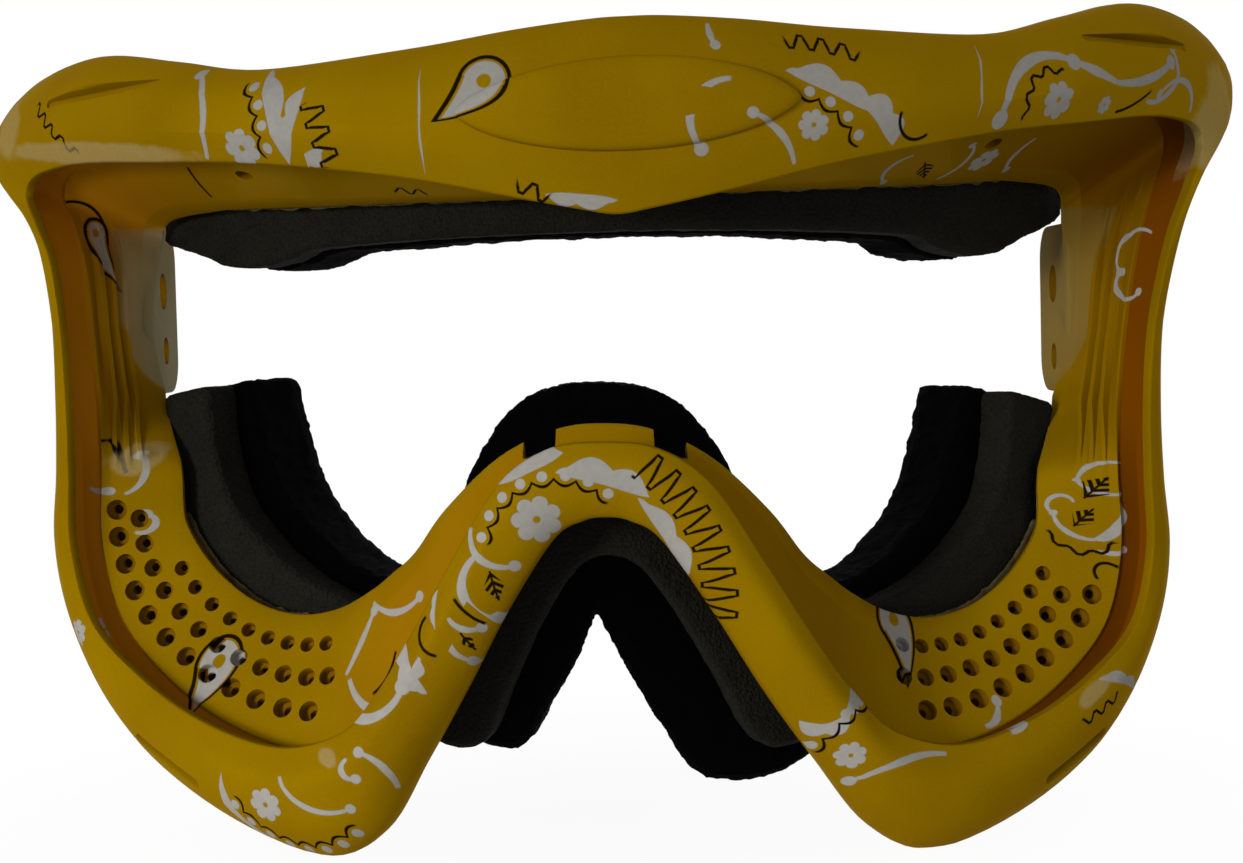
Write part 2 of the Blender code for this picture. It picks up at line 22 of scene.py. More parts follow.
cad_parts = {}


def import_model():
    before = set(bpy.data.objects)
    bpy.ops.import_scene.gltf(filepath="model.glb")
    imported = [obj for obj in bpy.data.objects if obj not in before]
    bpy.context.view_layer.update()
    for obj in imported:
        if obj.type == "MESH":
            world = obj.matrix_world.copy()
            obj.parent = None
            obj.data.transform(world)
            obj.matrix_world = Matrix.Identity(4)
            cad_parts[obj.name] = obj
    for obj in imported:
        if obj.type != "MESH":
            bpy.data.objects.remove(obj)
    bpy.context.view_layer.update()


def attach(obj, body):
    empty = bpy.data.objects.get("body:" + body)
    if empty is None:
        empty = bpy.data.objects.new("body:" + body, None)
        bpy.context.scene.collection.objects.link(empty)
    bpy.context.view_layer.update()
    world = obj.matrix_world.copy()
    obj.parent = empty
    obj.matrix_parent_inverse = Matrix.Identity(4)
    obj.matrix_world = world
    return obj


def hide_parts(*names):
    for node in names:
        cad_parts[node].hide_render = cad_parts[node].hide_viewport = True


MM = 0.001
BODY = "root"
# Face layer of painted shade: 1 in the lens groove, a share on the ledge's front, 2 on the holes' walls
PAINTED_SHADE_LAYER = "painted_shade_layer"
LOG = logging.getLogger("goggles")

Flat = tuple[np.ndarray, float]
Colour = tuple[float, float, float]


# The flat layout and its bending


def curve_at(points: np.ndarray, place: float) -> np.ndarray:
    """A smooth curve through an open list of points.

    Args:
        points: one row for each point.
        place: where on the curve, counted in points.

    Returns:
        The row at that place.
    """
    last = len(points) - 1
    start = min(int(place), last - 1)
    part = place - start
    p1, p2 = points[start], points[start + 1]
    p0 = points[start - 1] if start > 0 else 2 * p1 - p2
    p3 = points[start + 2] if start + 2 <= last else 2 * p2 - p1
    return 0.5 * (
        2 * p1
        + (p2 - p0) * part
        + (2 * p0 - 5 * p1 + 4 * p2 - p3) * part**2
        + (3 * p1 - p0 - 3 * p2 + p3) * part**3
    )


@dataclass(frozen=True)
class Flex:
    """How far the soft moulding sits out of true: tilts and sideways shifts at even heights."""

    lowest: float = -75.0
    spacing: float = 25.0
    tilts: tuple[float, ...] = (-0.014, -0.022, -0.026, -0.018, 0.02, 0.03)
    shifts: tuple[float, ...] = (0.6, -1.2, -1.8, -1.4, 2.0, 2.6)

    def moved(self, s: float, z: float) -> tuple[float, float]:
        """Where a place of the true layout sits."""
        place = min(max((z - self.lowest) / self.spacing, 0.0), len(self.tilts) - 1.0)
        tilt, shift = curve_at(np.stack([self.tilts, self.shifts], axis=1), place)
        return s + float(shift), z + float(tilt) * s


@dataclass(frozen=True)
class Bend:
    """How the flat layout is bent round the face."""

    lens_radius: float = 108.0
    eye_line_height: float = 71.8
    front_to_origin: float = 33.4
    flex: Flex = Flex()

    def point(self, s: float, z: float, n: float) -> Vector:
        """Bends one place of the layout.

        Args:
            s: distance along the lens from its middle.
            z: height over the eye line.
            n: height over the lens.

        Returns:
            The point in metres.
        """
        s, z = self.flex.moved(s, z)
        turn = s / self.lens_radius
        radius = self.lens_radius + n
        x = radius * math.sin(turn)
        y = self.lens_radius - radius * math.cos(turn) - self.front_to_origin
        return Vector((x, y, z + self.eye_line_height)) * MM

    def flat(self, points: np.ndarray) -> np.ndarray:
        """Lays points out flat again.

        Args:
            points: rows of x, y, z in metres.

        Returns:
            Rows of s, z, n in millimetres.
        """
        x, y, z = (points / MM).T
        back = self.lens_radius - self.front_to_origin - y
        radius = np.hypot(x, back)
        s = np.arctan2(x, back) * self.lens_radius
        return np.stack([s, z - self.eye_line_height, radius - self.lens_radius], axis=1)


BEND = Bend()


def bent(place: Flat) -> Vector:
    """A place of the layout, bent round the face."""
    return BEND.point(*place[0], place[1])


STATIONS: dict[str, tuple[tuple[float, float], tuple[float, float], tuple[float, float, float]]] = {
    "brow_centre": ((0.0, 13.8), (0.0, 39.4), (0.0, 17.0, -17.0)),
    "brow_tip": ((4.0, 14.4), (5.0, 39.3), (5.0, 17.0, -17.0)),
    "brow_inner": ((14.0, 16.5), (15.0, 38.5), (16.0, 17.0, -17.0)),
    "brow_quarter": ((29.0, 19.8), (29.5, 37.0), (32.0, 17.2, -17.0)),
    "brow_dip": ((50.0, 23.0), (51.0, 36.2), (54.0, 17.6, -17.0)),
    "brow_rise": ((66.0, 24.4), (67.0, 39.0), (73.0, 18.2, -18.0)),
    "brow_hump": ((78.0, 25.4), (81.0, 41.3), (87.0, 18.6, -18.2)),
    "horn_top": ((86.4, 25.4), (97.0, 40.3), (93.0, 18.2, -18.8)),
    "horn_tip": ((92.8, 24.4), (110.8, 36.6), (96.0, 16.8, -19.2)),
    "horn_low": ((94.6, 21.6), (113.2, 30.8), (97.5, 14.4, -19.6)),
    "horn_root": ((91.4, 17.0), (97.4, 20.0), (98.2, 11.0, -20.0)),
    "temple_top": ((87.0, 10.5), (92.8, 12.0), (98.4, 6.5, -20.2)),
    "temple_mid": ((83.6, 0.0), (90.0, 0.0), (98.2, -1.5, -20.0)),
    "temple_low": ((82.4, -12.0), (89.8, -12.0), (92.0, -10.5, -17.0)),
    "cheek_top": ((82.4, -22.0), (90.6, -22.0), (79.5, -20.5, -12.5)),
    "cheek_side": ((82.6, -32.0), (92.2, -33.0), (75.5, -29.0, -12.0)),
    "cheek_corner": ((78.5, -42.0), (87.4, -44.3), (69.0, -35.0, -12.0)),
    "cheek_turn": ((69.0, -48.7), (77.0, -57.5), (60.5, -39.3, -12.0)),
    "cheek_low": ((58.0, -53.8), (62.0, -66.3), (52.0, -40.8, -12.0)),
    "cheek_bottom": ((46.0, -56.4), (44.0, -71.7), (44.5, -39.8, -12.0)),
    "nose_foot": ((36.5, -54.0), (34.0, -67.8), (38.0, -37.0, -11.5)),
    "nose_heel": ((31.0, -48.5), (26.5, -58.0), (33.5, -34.2, -10.5)),
    "nose_leg_low": ((26.0, -41.0), (20.0, -48.5), (29.0, -31.0, -9.0)),
    "nose_leg": ((20.0, -31.0), (13.5, -37.7), (23.5, -25.0, -7.0)),
    "nose_shoulder": ((13.5, -20.8), (7.0, -28.2), (15.0, -17.8, -5.0)),
    "nose_crown": ((7.0, -16.2), (3.0, -25.7), (7.0, -14.0, -4.2)),
    "nose_apex": ((0.0, -15.3), (0.0, -25.2), (0.0, -13.1, -4.0)),
}
NAMES = list(STATIONS)
OUTLINE = np.array([[*lip, *rim, *ledge] for lip, rim, ledge in STATIONS.values()])
OUTLINE_SIGNS = np.array([-1, 1, -1, 1, -1, 1, 1])
LAST_STATION = len(NAMES) - 1


def mirrored(rows: Sequence[Sequence[float]], signs: np.ndarray) -> np.ndarray:
    """Rows that run out from the middle, with the other half put before them."""
    right = np.array(rows, float)
    return np.concatenate([(right * signs)[:0:-1], right])


def station(name: str, beyond: float = 0.0) -> float:
    """A named station's number, with a part of a station added."""
    return NAMES.index(name) + beyond


# Mesh helpers


def turns(count: int) -> list[float]:
    """Even angles of a full turn, in radians."""
    return [2 * math.pi * k / count for k in range(count)]


def soften(bm: bmesh.types.BMesh, edges: Sequence[bmesh.types.BMEdge], width: float, segments: int) -> None:
    """Rounds edges by a width in millimetres."""
    bmesh.ops.bevel(
        bm,
        geom=edges,
        offset=width * MM,
        offset_type="OFFSET",
        segments=segments,
        profile=0.5,
        affect="EDGES",
        material=-1,
    )


def add_ring(bm: bmesh.types.BMesh, points: Iterable[Vector]) -> list[bmesh.types.BMEdge]:
    """A closed loop of edges through the points."""
    verts = [bm.verts.new(point) for point in points]
    return [bm.edges.new((verts[i - 1], verts[i])) for i in range(len(verts))]


def loft(bm: bmesh.types.BMesh, rings: Sequence[Sequence[Vector]], closed: bool) -> None:
    """Skins a list of equal rings.

    Args:
        bm: the mesh that gets the skin.
        rings: the rings' points.
        closed: whether the last ring joins the first, or both ends are capped.
    """
    loops = [add_ring(bm, points) for points in rings]
    pairs = list(zip(loops, loops[1:]))
    if closed:
        pairs.append((loops[-1], loops[0]))
    for first, second in pairs:
        bmesh.ops.bridge_loops(bm, edges=first + second)
    if not closed:
        for loop in (loops[0], loops[-1]):
            bmesh.ops.contextual_create(bm, geom=loop)


def rounded(points: Sequence[Vector], radii: Sequence[float]) -> list[Vector]:
    """Rounds the corners of a ring.

    Args:
        points: the ring's corners.
        radii: how far each corner is cut back, in millimetres; a corner with none stays.

    Returns:
        The ring with three points for each rounded corner.
    """
    made: list[Vector] = []
    count = len(points)
    for i, (corner, radius) in enumerate(zip(points, radii)):
        if not radius:
            made.append(corner)
            continue
        cuts = []
        for other in (points[i - 1], points[(i + 1) % count]):
            way = other - corner
            reach = min(radius * MM, 0.42 * way.length)
            cuts.append(corner + way.normalized() * reach if way.length > 1e-9 else corner.copy())
        made += [cuts[0], cuts[0] * 0.25 + corner * 0.5 + cuts[1] * 0.25, cuts[1]]
    return made


def to_mesh(bm: bmesh.types.BMesh, name: str) -> bpy.types.Mesh:
    """Turns a bmesh's faces outwards and makes it a mesh."""
    bmesh.ops.recalc_face_normals(bm, faces=bm.faces)
    mesh = bpy.data.meshes.new(name)
    bm.to_mesh(mesh)
    bm.free()
    return mesh


def to_object(mesh: bpy.types.Mesh, name: str, sharp: float = math.radians(50)) -> bpy.types.Object:
    """Links a mesh's object to the scene, smooth up to its sharp edges."""
    obj = bpy.data.objects.new(name, mesh)
    bpy.context.scene.collection.objects.link(obj)
    mesh.shade_smooth()
    mesh.set_sharp_from_angle(angle=sharp)
    return obj


def combine(
    obj: bpy.types.Object, steps: Sequence[tuple[str, bpy.types.Mesh]], crossing: bool = False
) -> None:
    """Joins or cuts an object with helper meshes, and keeps only the result.

    Args:
        obj: the object to change.
        steps: the Boolean operations with their helpers, in order.
        crossing: whether parts of one helper cross each other.
    """
    helpers = []
    for number, (operation, mesh) in enumerate(steps):
        helper = bpy.data.objects.new(f"helper_{number}", mesh)
        bpy.context.scene.collection.objects.link(helper)
        modifier = obj.modifiers.new(f"step {number}", "BOOLEAN")
        modifier.operation = operation
        modifier.object = helper
        modifier.solver = "EXACT"
        modifier.use_self = crossing
        helpers.append(helper)
    graph = bpy.context.evaluated_depsgraph_get()
    made = bpy.data.meshes.new_from_object(obj.evaluated_get(graph))
    obj.modifiers.clear()
    old, obj.data = obj.data, made
    bpy.data.meshes.remove(old)
    for helper in helpers:
        mesh = helper.data
        bpy.data.objects.remove(helper)
        bpy.data.meshes.remove(mesh)


# Shader maths


class Value:
    """A shader value that takes Python's operators."""

    def __init__(self, shader: Shader, socket: bpy.types.NodeSocket) -> None:
        """Wraps an output socket of a shader's node."""
        self.shader = shader
        self.socket = socket

    def __add__(self, other: Value | float) -> Value:
        """The sum."""
        return self.shader.math("ADD", self, other)

    __radd__ = __add__

    def __sub__(self, other: Value | float) -> Value:
        """The difference."""
        return self.shader.math("SUBTRACT", self, other)

    def __rsub__(self, other: Value | float) -> Value:
        """The difference the other way round."""
        return self.shader.math("SUBTRACT", other, self)

    def __mul__(self, other: Value | float) -> Value:
        """The product."""
        return self.shader.math("MULTIPLY", self, other)

    __rmul__ = __mul__

    def __truediv__(self, other: Value | float) -> Value:
        """The quotient."""
        return self.shader.math("DIVIDE", self, other)

    def __abs__(self) -> Value:
        """The size without the sign."""
        return self.shader.math("ABSOLUTE", self)


class Shader:
    """The node tree of a material or a world, with one method that adds nodes."""

    def __init__(self, owner: bpy.types.Material | bpy.types.World, surface: str = "Principled BSDF") -> None:
        """Takes the owner's tree, and the node that its sockets belong to."""
        self.owner = owner
        self.owner.use_nodes = True
        self.tree = owner.node_tree
        self.surface = self.tree.nodes[surface]

    @classmethod
    def material(cls, name: str) -> Shader:
        """A new material with nothing but its Principled shader."""
        return cls(bpy.data.materials.new(name))

    def add(self, kind: str, settings: dict | None = None, inputs: dict | None = None) -> bpy.types.Node:
        """Adds a node.

        Args:
            kind: the node's type.
            settings: its properties, set first.
            inputs: values or links for its sockets, by name or number.

        Returns:
            The node.
        """
        node = self.tree.nodes.new(kind)
        for name, setting in (settings or {}).items():
            setattr(node, name, setting)
        for name, value in (inputs or {}).items():
            self.feed(node.inputs[name], value)
        return node

    def feed(self, socket: bpy.types.NodeSocket, value: Value | float | Sequence[float]) -> None:
        """Links a value to a socket, or sets the socket."""
        if isinstance(value, Value):
            self.tree.links.new(value.socket, socket)
        else:
            socket.default_value = value

    def math(self, operation: str, *values: Value | float, clamp: bool = False) -> Value:
        """A Math node's result."""
        settings = {"operation": operation, "use_clamp": clamp}
        return Value(self, self.add("ShaderNodeMath", settings, dict(enumerate(values))).outputs[0])

    def ramp(self, value: Value, slope: float, start: Value | float) -> Value:
        """A straight line, held between nought and one."""
        return self.math("MULTIPLY_ADD", value, slope, start, clamp=True)

    def inside(self, distance: Value, soft: float) -> Value:
        """One where a distance is below nought and nought where it is above, over a soft step."""
        return self.ramp(distance, -1.0 / soft, 0.5)

    def clear(self, mask: Value) -> Value:
        """A mask held between nought and one."""
        return self.ramp(mask, 1.0, 0.0)

    def seen(self) -> Value:
        """One for the rays that show the background, straight or in metal and glass."""
        path = self.add("ShaderNodeLightPath")
        names = ("Is Camera Ray", "Is Glossy Ray", "Is Transmission Ray")
        return self.either(*[Value(self, path.outputs[name]) for name in names])

    def either(self, *masks: Value) -> Value:
        """The greatest of some masks."""
        made = masks[0]
        for mask in masks[1:]:
            made = self.math("MAXIMUM", made, mask)
        return made

    def mix(self, share: Value | float, first: Value | Colour, second: Value | Colour) -> Value:
        """A colour between two others."""
        first, second = (c if isinstance(c, Value) else (*c, 1.0) for c in (first, second))
        node = self.add("ShaderNodeMix", {"data_type": "RGBA"}, {0: share, 6: first, 7: second})
        return Value(self, node.outputs[2])

    def split(self, vector: Value) -> list[Value]:
        """A vector's three parts."""
        node = self.add("ShaderNodeSeparateXYZ", None, {0: vector})
        return [Value(self, socket) for socket in node.outputs]

    def attribute(self, name: str) -> Value:
        """A vector attribute of the mesh."""
        node = self.add("ShaderNodeAttribute", {"attribute_name": name})
        return Value(self, node.outputs["Vector"])

    def place(self) -> Value:
        """The place on the object, in metres."""
        return Value(self, self.add("ShaderNodeTexCoord").outputs["Object"])

    def noise(self, place: Value, size: float, detail: float = 2.0, roughness: float = 0.5) -> Value:
        """Noise with features of a size in millimetres."""
        inputs = {"Vector": place, "Scale": 1 / (size * MM), "Detail": detail, "Roughness": roughness}
        return Value(self, self.add("ShaderNodeTexNoise", None, inputs).outputs["Fac"])

    def cells(self, place: Value, size: float, feature: str = "F1") -> Value:
        """Distance in a cell pattern with cells of a size in millimetres."""
        inputs = {"Vector": place, "Scale": 1 / (size * MM)}
        return Value(self, self.add("ShaderNodeTexVoronoi", {"feature": feature}, inputs).outputs["Distance"])

    def bump(self, height: Value, depth: float) -> Value:
        """A normal from a height of nought to one and its depth in millimetres."""
        inputs = {"Height": height, "Distance": depth * MM, "Strength": 1.0}
        return Value(self, self.add("ShaderNodeBump", None, inputs).outputs["Normal"])

    def finish(self, **sockets: Value | float | Sequence[float]) -> bpy.types.Material | bpy.types.World:
        """Sets the surface's sockets, their spaces written as underscores."""
        for name, value in sockets.items():
            self.feed(self.surface.inputs[name.replace("_", " ")], value)
        return self.owner


# The print on the lacquer


class Motif(IntEnum):
    """The figures of the print."""

    FLOWER = 1
    DROP = 2
    BEADS = 3
    ZIGZAG = 4
    SPRIG = 5
    CURL = 6
    FLAME = 7
    LINE = 8
    SCUFF = 9


class Side(Enum):
    """A wall of the frame: the two axes its figures use, and the least and most s, z and n of its faces."""

    FRONT = ((0, 1), (-120, -80, -1.2), (120, 50, 99))
    LEDGE = ((0, 1), (-120, -80, -99), (120, -12, -1.0))
    ANY = ((0, 1), (-120, -80, -99), (120, 50, 99))
    ROOF = ((0, 2), (-120, 12, -99), (120, 50, -1.2))
    LEFT_TEMPLE = ((2, 1), (-120, -20, -99), (-80, 25, -1.2))
    RIGHT_TEMPLE = ((2, 1), (80, -20, -99), (120, 25, -1.2))


Spot = tuple[float, float]


@dataclass(frozen=True)
class Figure:
    """One figure of the print, given by its middle, by its two ends or by three places along its arc."""

    motif: Motif
    spots: tuple[Spot, ...]
    width: float = 0.17
    side: Side = Side.FRONT

    def stance(self) -> tuple[np.ndarray, float, float, float]:
        """Where the figure's own coordinates lie.

        Returns:
            Their origin, their turn in radians, the figure's size and its span.
        """
        spots = np.array(self.spots, float)
        if len(spots) == 1:
            return spots[0], 0.0, self.width, 1.0
        if len(spots) == 2:
            way = spots[1] - spots[0]
            length = float(np.hypot(*way))
            turn = math.atan2(way[1], way[0]) - math.pi / 2
            if self.motif is Motif.DROP:
                return spots[0], turn, self.width, length
            return spots.mean(axis=0), turn, length / 2, self.width
        chords = 2 * (spots[1:] - spots[0])
        squares = (spots[1:] ** 2).sum(axis=1) - (spots[0] ** 2).sum()
        middle = np.linalg.solve(chords, squares)
        start, through, end = (math.atan2(*(spot - middle)[::-1]) for spot in spots)
        first = (through - start + math.pi) % (2 * math.pi) - math.pi
        second = (end - through + math.pi) % (2 * math.pi) - math.pi
        radius = float(np.hypot(*(spots[0] - middle)))
        return middle, start + (first + second) / 2, radius, abs(first + second) / 2

    def covers(self, u: np.ndarray, v: np.ndarray, size: float, span: float) -> np.ndarray:
        """Which places the figure may touch, in its own coordinates.

        Args:
            u: places across.
            v: places along.
            size: the figure's size.
            span: the figure's span.

        Returns:
            A mask of the places.
        """
        spare = 2.4 + (2.2 if self.motif is Motif.BEADS else self.width)
        radius = np.hypot(u, v)
        if len(self.spots) < 3:
            return radius < spare + max(size, span)
        return (abs(radius - size) < spare) & (abs(np.arctan2(v, u)) * size < span * size + spare)


@dataclass(frozen=True)
class LacquerFinish:
    """Pearl yellow lacquer with a paisley print under a clear coat, and painted shade in its groove and
    holes.
    """

    yellow: Colour = (0.30, 0.17, 0.0)
    deep_yellow: Colour = (0.215, 0.11, 0.0)
    # painted shade and bounce light in the groove: a dark copy on the right, a lit copy on the left
    dark_groove_shade: Colour = (0.19, 0.055, 0.0)
    lit_orange: Colour = (0.5, 0.19, 0.004)
    # painted shade on the holes' walls
    hole_shade_brown: Colour = (0.2, 0.095, 0.002)
    white: Colour = (0.42, 0.40, 0.36)
    black: Colour = (0.012, 0.007, 0.003)
    film: Colour = (0.43, 0.36, 0.19)
    flake_gold: Colour = (0.42, 0.27, 0.003)
    # the strap tape's frosted film; the left one is painted lighter, as painted light on the shaded left tab
    right_frost: Colour = (0.27, 0.18, 0.045)
    left_frost_painted_light: Colour = (0.42, 0.36, 0.2)
    roughness: float = 0.34
    metallic: float = 0.2
    coat: float = 0.02
    coat_roughness: float = 0.06
    coat_ior: float = 1.25
    strap_film: tuple[float, float] = (12.4, 13.2)
    line: float = 0.21
    petals: int = 7
    bead: float = 0.68
    bead_step: float = 2.9
    tooth_step: float = 2.7
    soft: float = 0.12
    layers: int = 4

    def marks(self, shader: Shader, layer: int) -> tuple[Value, Value, Value]:
        """Draws the figures of one layer.

        Args:
            shader: the material.
            layer: which layer of attributes to read.

        Returns:
            Masks of the white, the black and the scuffed film.
        """
        u, v, kind = shader.split(shader.attribute(f"print_place_{layer}"))
        size, span, width = shader.split(shader.attribute(f"print_form_{layer}"))
        radius = shader.math("SQRT", u * u + v * v)
        angle = shader.math("ARCTAN2", v, u)
        along = angle * size
        off = radius - size
        share = abs(angle) / span
        within = shader.inside(abs(along) - span * size, 0.3)
        taper = shader.math("MAXIMUM", 1 - share * share * share, 0.0)

        only = {motif: shader.math("COMPARE", kind, float(motif), 0.4) for motif in Motif}
        ink = partial(shader.inside, soft=self.soft)
        bulge = shader.math("SQRT", abs(shader.math("SINE", angle * (self.petals / 2))))
        flower = ink(radius - size * (bulge * 0.32 + 0.68)) * (1 - ink(radius - size * 0.15))
        step = shader.math("FRACT", along / self.bead_step) - 0.5
        beads = ink(shader.math("SQRT", step * step * self.bead_step**2 + off * off) - self.bead)
        scallop = ink(abs(off + 1.3 - step * step * 3.4) - self.line)
        saw = abs(shader.math("FRACT", along / self.tooth_step) - 0.5) * 6.4 - 1.6
        saw = shader.math("MAXIMUM", shader.math("MINIMUM", saw, 1.0), -1.0)
        steep = width * (6.4 / self.tooth_step) * shader.math("LESS_THAN", abs(saw), 1.0)
        zigzag = ink(abs(off - saw * width) / shader.math("SQRT", steep * steep + 1.0) - self.line)
        zigzag = zigzag * ink(abs(off) - width - self.line)
        curl = ink(abs(off) - (1 - share * 0.5) * width) * within
        bulb_u = u - size * shader.math("COSINE", span)
        bulb_v = v - size * shader.math("SINE", span)
        bulb = ink(shader.math("SQRT", bulb_u * bulb_u + bulb_v * bulb_v) - width * 1.5)
        lobe = abs(shader.math("SINE", angle / span * 3.6 + 0.4)) * shader.math("GREATER_THAN", off, 0.0)
        flame = ink(abs(off) - width * taper * (lobe * 0.75 + 0.7)) * within
        feather = shader.math("FRACT", (v - abs(u) * 0.9) / 1.05)
        feather = ink(abs(feather - 0.5) * 1.05 - 0.3) * ink(abs(u) - (1 - abs(v) / size) * span)
        stem = ink(abs(u) - 0.14) * ink(abs(v) - size)
        tail = v / span
        half = shader.math("POWER", shader.math("MAXIMUM", 1 - tail * tail, 0.0), 0.9) * size
        upper = shader.math("GREATER_THAN", v, 0.0)
        long = abs(u - v * tail * 0.7) - half
        drop = radius - size + (long * 0.85 - radius + size) * upper
        body = ink(drop + 0.85) * (1 - ink(radius - size * 0.26))
        rim = ink(abs(drop + 0.3) - 0.26) * ink(v - span)
        loop = only[Motif.BEADS] * within
        white = (
            only[Motif.FLOWER] * flower
            + loop * beads
            + only[Motif.CURL] * shader.either(curl, bulb)
            + only[Motif.FLAME] * flame
            + only[Motif.DROP] * body
        )
        strokes = only[Motif.ZIGZAG] * zigzag + only[Motif.LINE] * ink(abs(off) - self.line)
        black = (
            loop * scallop
            + strokes * within
            + only[Motif.SPRIG] * shader.either(feather, stem)
            + only[Motif.DROP] * rim
        )
        across, down = u / width, v / size
        ragged = shader.noise(shader.place(), 4.0, 3.0, 0.6) * 0.6 - 0.3
        oval = shader.math("SQRT", across * across + down * down) + ragged - 0.8
        return white, black, only[Motif.SCUFF] * shader.inside(oval, 0.25)

    def make(self) -> bpy.types.Material:
        """Builds the material."""
        shader = Shader.material("yellow_lacquer")
        place = shader.place()
        layers = [self.marks(shader, layer) for layer in range(self.layers)]
        white, black, scuff = (shader.either(*masks) for masks in zip(*layers))
        cloud = shader.noise(place, 22.0, 3.0)
        flake = shader.cells(place, 0.22)
        crinkle = shader.noise(place, 1.6, 5.0, 0.75)
        wrinkle = shader.ramp(abs(crinkle - 0.5), -22.0, 1.0)
        tone = shader.ramp(cloud, 1.6, -0.4)
        colour = shader.mix(tone, self.yellow, self.deep_yellow)
        colour = shader.mix(flake * 0.22, colour, self.flake_gold)
        # Painted shade: the groove, parts of the ledge and the holes' walls take orange and brown instead of
        # yellow.
        groove = Value(shader, shader.add("ShaderNodeAttribute", {"attribute_name": PAINTED_SHADE_LAYER}).outputs["Fac"])
        x, y, z = shader.split(place)
        # painted light: the groove's painted shade turns lighter towards the left side
        painted_light_side = shader.ramp(x, -14.0, 0.3)
        groove_shade_colour = shader.mix(painted_light_side, self.dark_groove_shade, self.lit_orange)
        # faces marked above one are holes' walls, painted with the hole shade
        hole = shader.math("GREATER_THAN", groove, 1.5)
        groove = shader.math("MINIMUM", groove, 1.0)
        colour = shader.mix(groove, colour, shader.mix(hole, groove_shade_colour, self.hole_shade_brown))
        grain = shader.noise(place, 0.9, 3.0)
        white_ink = shader.mix(grain, self.white, tuple(c * 0.78 for c in self.white))
        colour = shader.mix(shader.clear(white), colour, white_ink)
        colour = shader.mix(shader.clear(black), colour, self.black)
        colour = shader.mix(scuff * (wrinkle * 0.1 + 0.34), colour, self.film)
        first, last = (edge * MM for edge in self.strap_film)
        tape = shader.ramp(y, 1 / (last - first), first / (first - last))
        level = abs(z - BEND.eye_line_height * MM)
        tape = tape * shader.inside(level - 15.5 * MM, 1.0 * MM) * (1 - groove)
        # Painted light: the tape on the left tab is painted lighter than on the right.
        left = shader.math("LESS_THAN", x, 0.0)
        frost_with_painted_light = shader.mix(left, self.right_frost, self.left_frost_painted_light)
        colour = shader.mix(tape * shader.ramp(cloud, 1.2, 0.2), colour, frost_with_painted_light)
        waves = shader.noise(place, 5.0, 2.0) * 0.5 + scuff * crinkle * 0.7
        return shader.finish(
            Base_Color=colour,
            Roughness=shader.math("MULTIPLY_ADD", flake, 0.15, self.roughness - 0.04),
            Metallic=self.metallic * (1 - shader.either(white, black, groove, tape)),
            Normal=shader.bump(waves, 0.12),
            Specular_IOR_Level=0.0,
            Specular_Tint=(1.0, 0.72, 0.02, 1.0),
            Coat_Weight=self.coat,
            Coat_Roughness=self.coat_roughness,
            Coat_IOR=self.coat_ior,
        )


@dataclass(frozen=True)
class FoamFinish:
    """Firm grey foam with open cells."""

    grey: Colour = (0.0145, 0.014, 0.0105)
    dark: Colour = (0.005, 0.005, 0.0035)
    cell: float = 0.45

    def make(self) -> bpy.types.Material:
        """Builds the material."""
        shader = Shader.material("grey_foam")
        place = shader.place()
        cells = shader.cells(place, self.cell)
        cloud = shader.noise(place, 6.0, 4.0, 0.6)
        tone = shader.ramp(cells, 0.9, cloud * 0.9 - 0.55)
        return shader.finish(
            Base_Color=shader.mix(tone, self.grey, self.dark),
            Roughness=0.95,
            Specular_IOR_Level=0.12,
            Normal=shader.bump(cells * 0.7 + cloud * 0.8, 0.28),
        )


@dataclass(frozen=True)
class FleeceFinish:
    """Short black pile."""

    black: Colour = (0.0003, 0.0003, 0.0003)
    tip: Colour = (0.002, 0.002, 0.0018)
    pile: float = 0.35

    def make(self) -> bpy.types.Material:
        """Builds the material."""
        shader = Shader.material("black_fleece")
        place = shader.place()
        fibre = shader.noise(place, self.pile, 6.0, 0.8)
        tuft = shader.noise(place, 2.4, 3.0, 0.6)
        tone = shader.ramp(fibre, 2.0, -0.75)
        return shader.finish(
            Base_Color=shader.mix(tone * tuft, self.black, self.tip),
            Roughness=1.0,
            Specular_IOR_Level=0.05,
            Normal=shader.bump(fibre * 0.8 + tuft * 0.6, 0.45),
        )


@dataclass(frozen=True)
class GlueFinish:
    """Yellowed contact glue, half clear."""

    tan: Colour = (0.045, 0.032, 0.012)
    pale: Colour = (0.14, 0.105, 0.045)

    def make(self) -> bpy.types.Material:
        """Builds the material."""
        shader = Shader.material("clear_glue")
        place = shader.place()
        cloud = shader.noise(place, 3.0, 4.0, 0.7)
        tone = shader.ramp(cloud, 3.0, -1.0)
        return shader.finish(
            Base_Color=shader.mix(tone, self.tan, self.pale),
            Roughness=shader.math("MULTIPLY_ADD", cloud, 0.4, 0.45),
            Normal=shader.bump(cloud, 0.3),
            Specular_IOR_Level=0.08,
        )


# The frame


def profile_at(profile: dict[str, float], place: float) -> float:
    """The value of a named profile at a station counted from the brow's middle."""
    return float(np.interp(place, [NAMES.index(name) for name in profile], list(profile.values())))


def profile(**values: float) -> dict[str, float]:
    """A field of sizes by station, straight between them."""
    return field(default_factory=lambda: values)


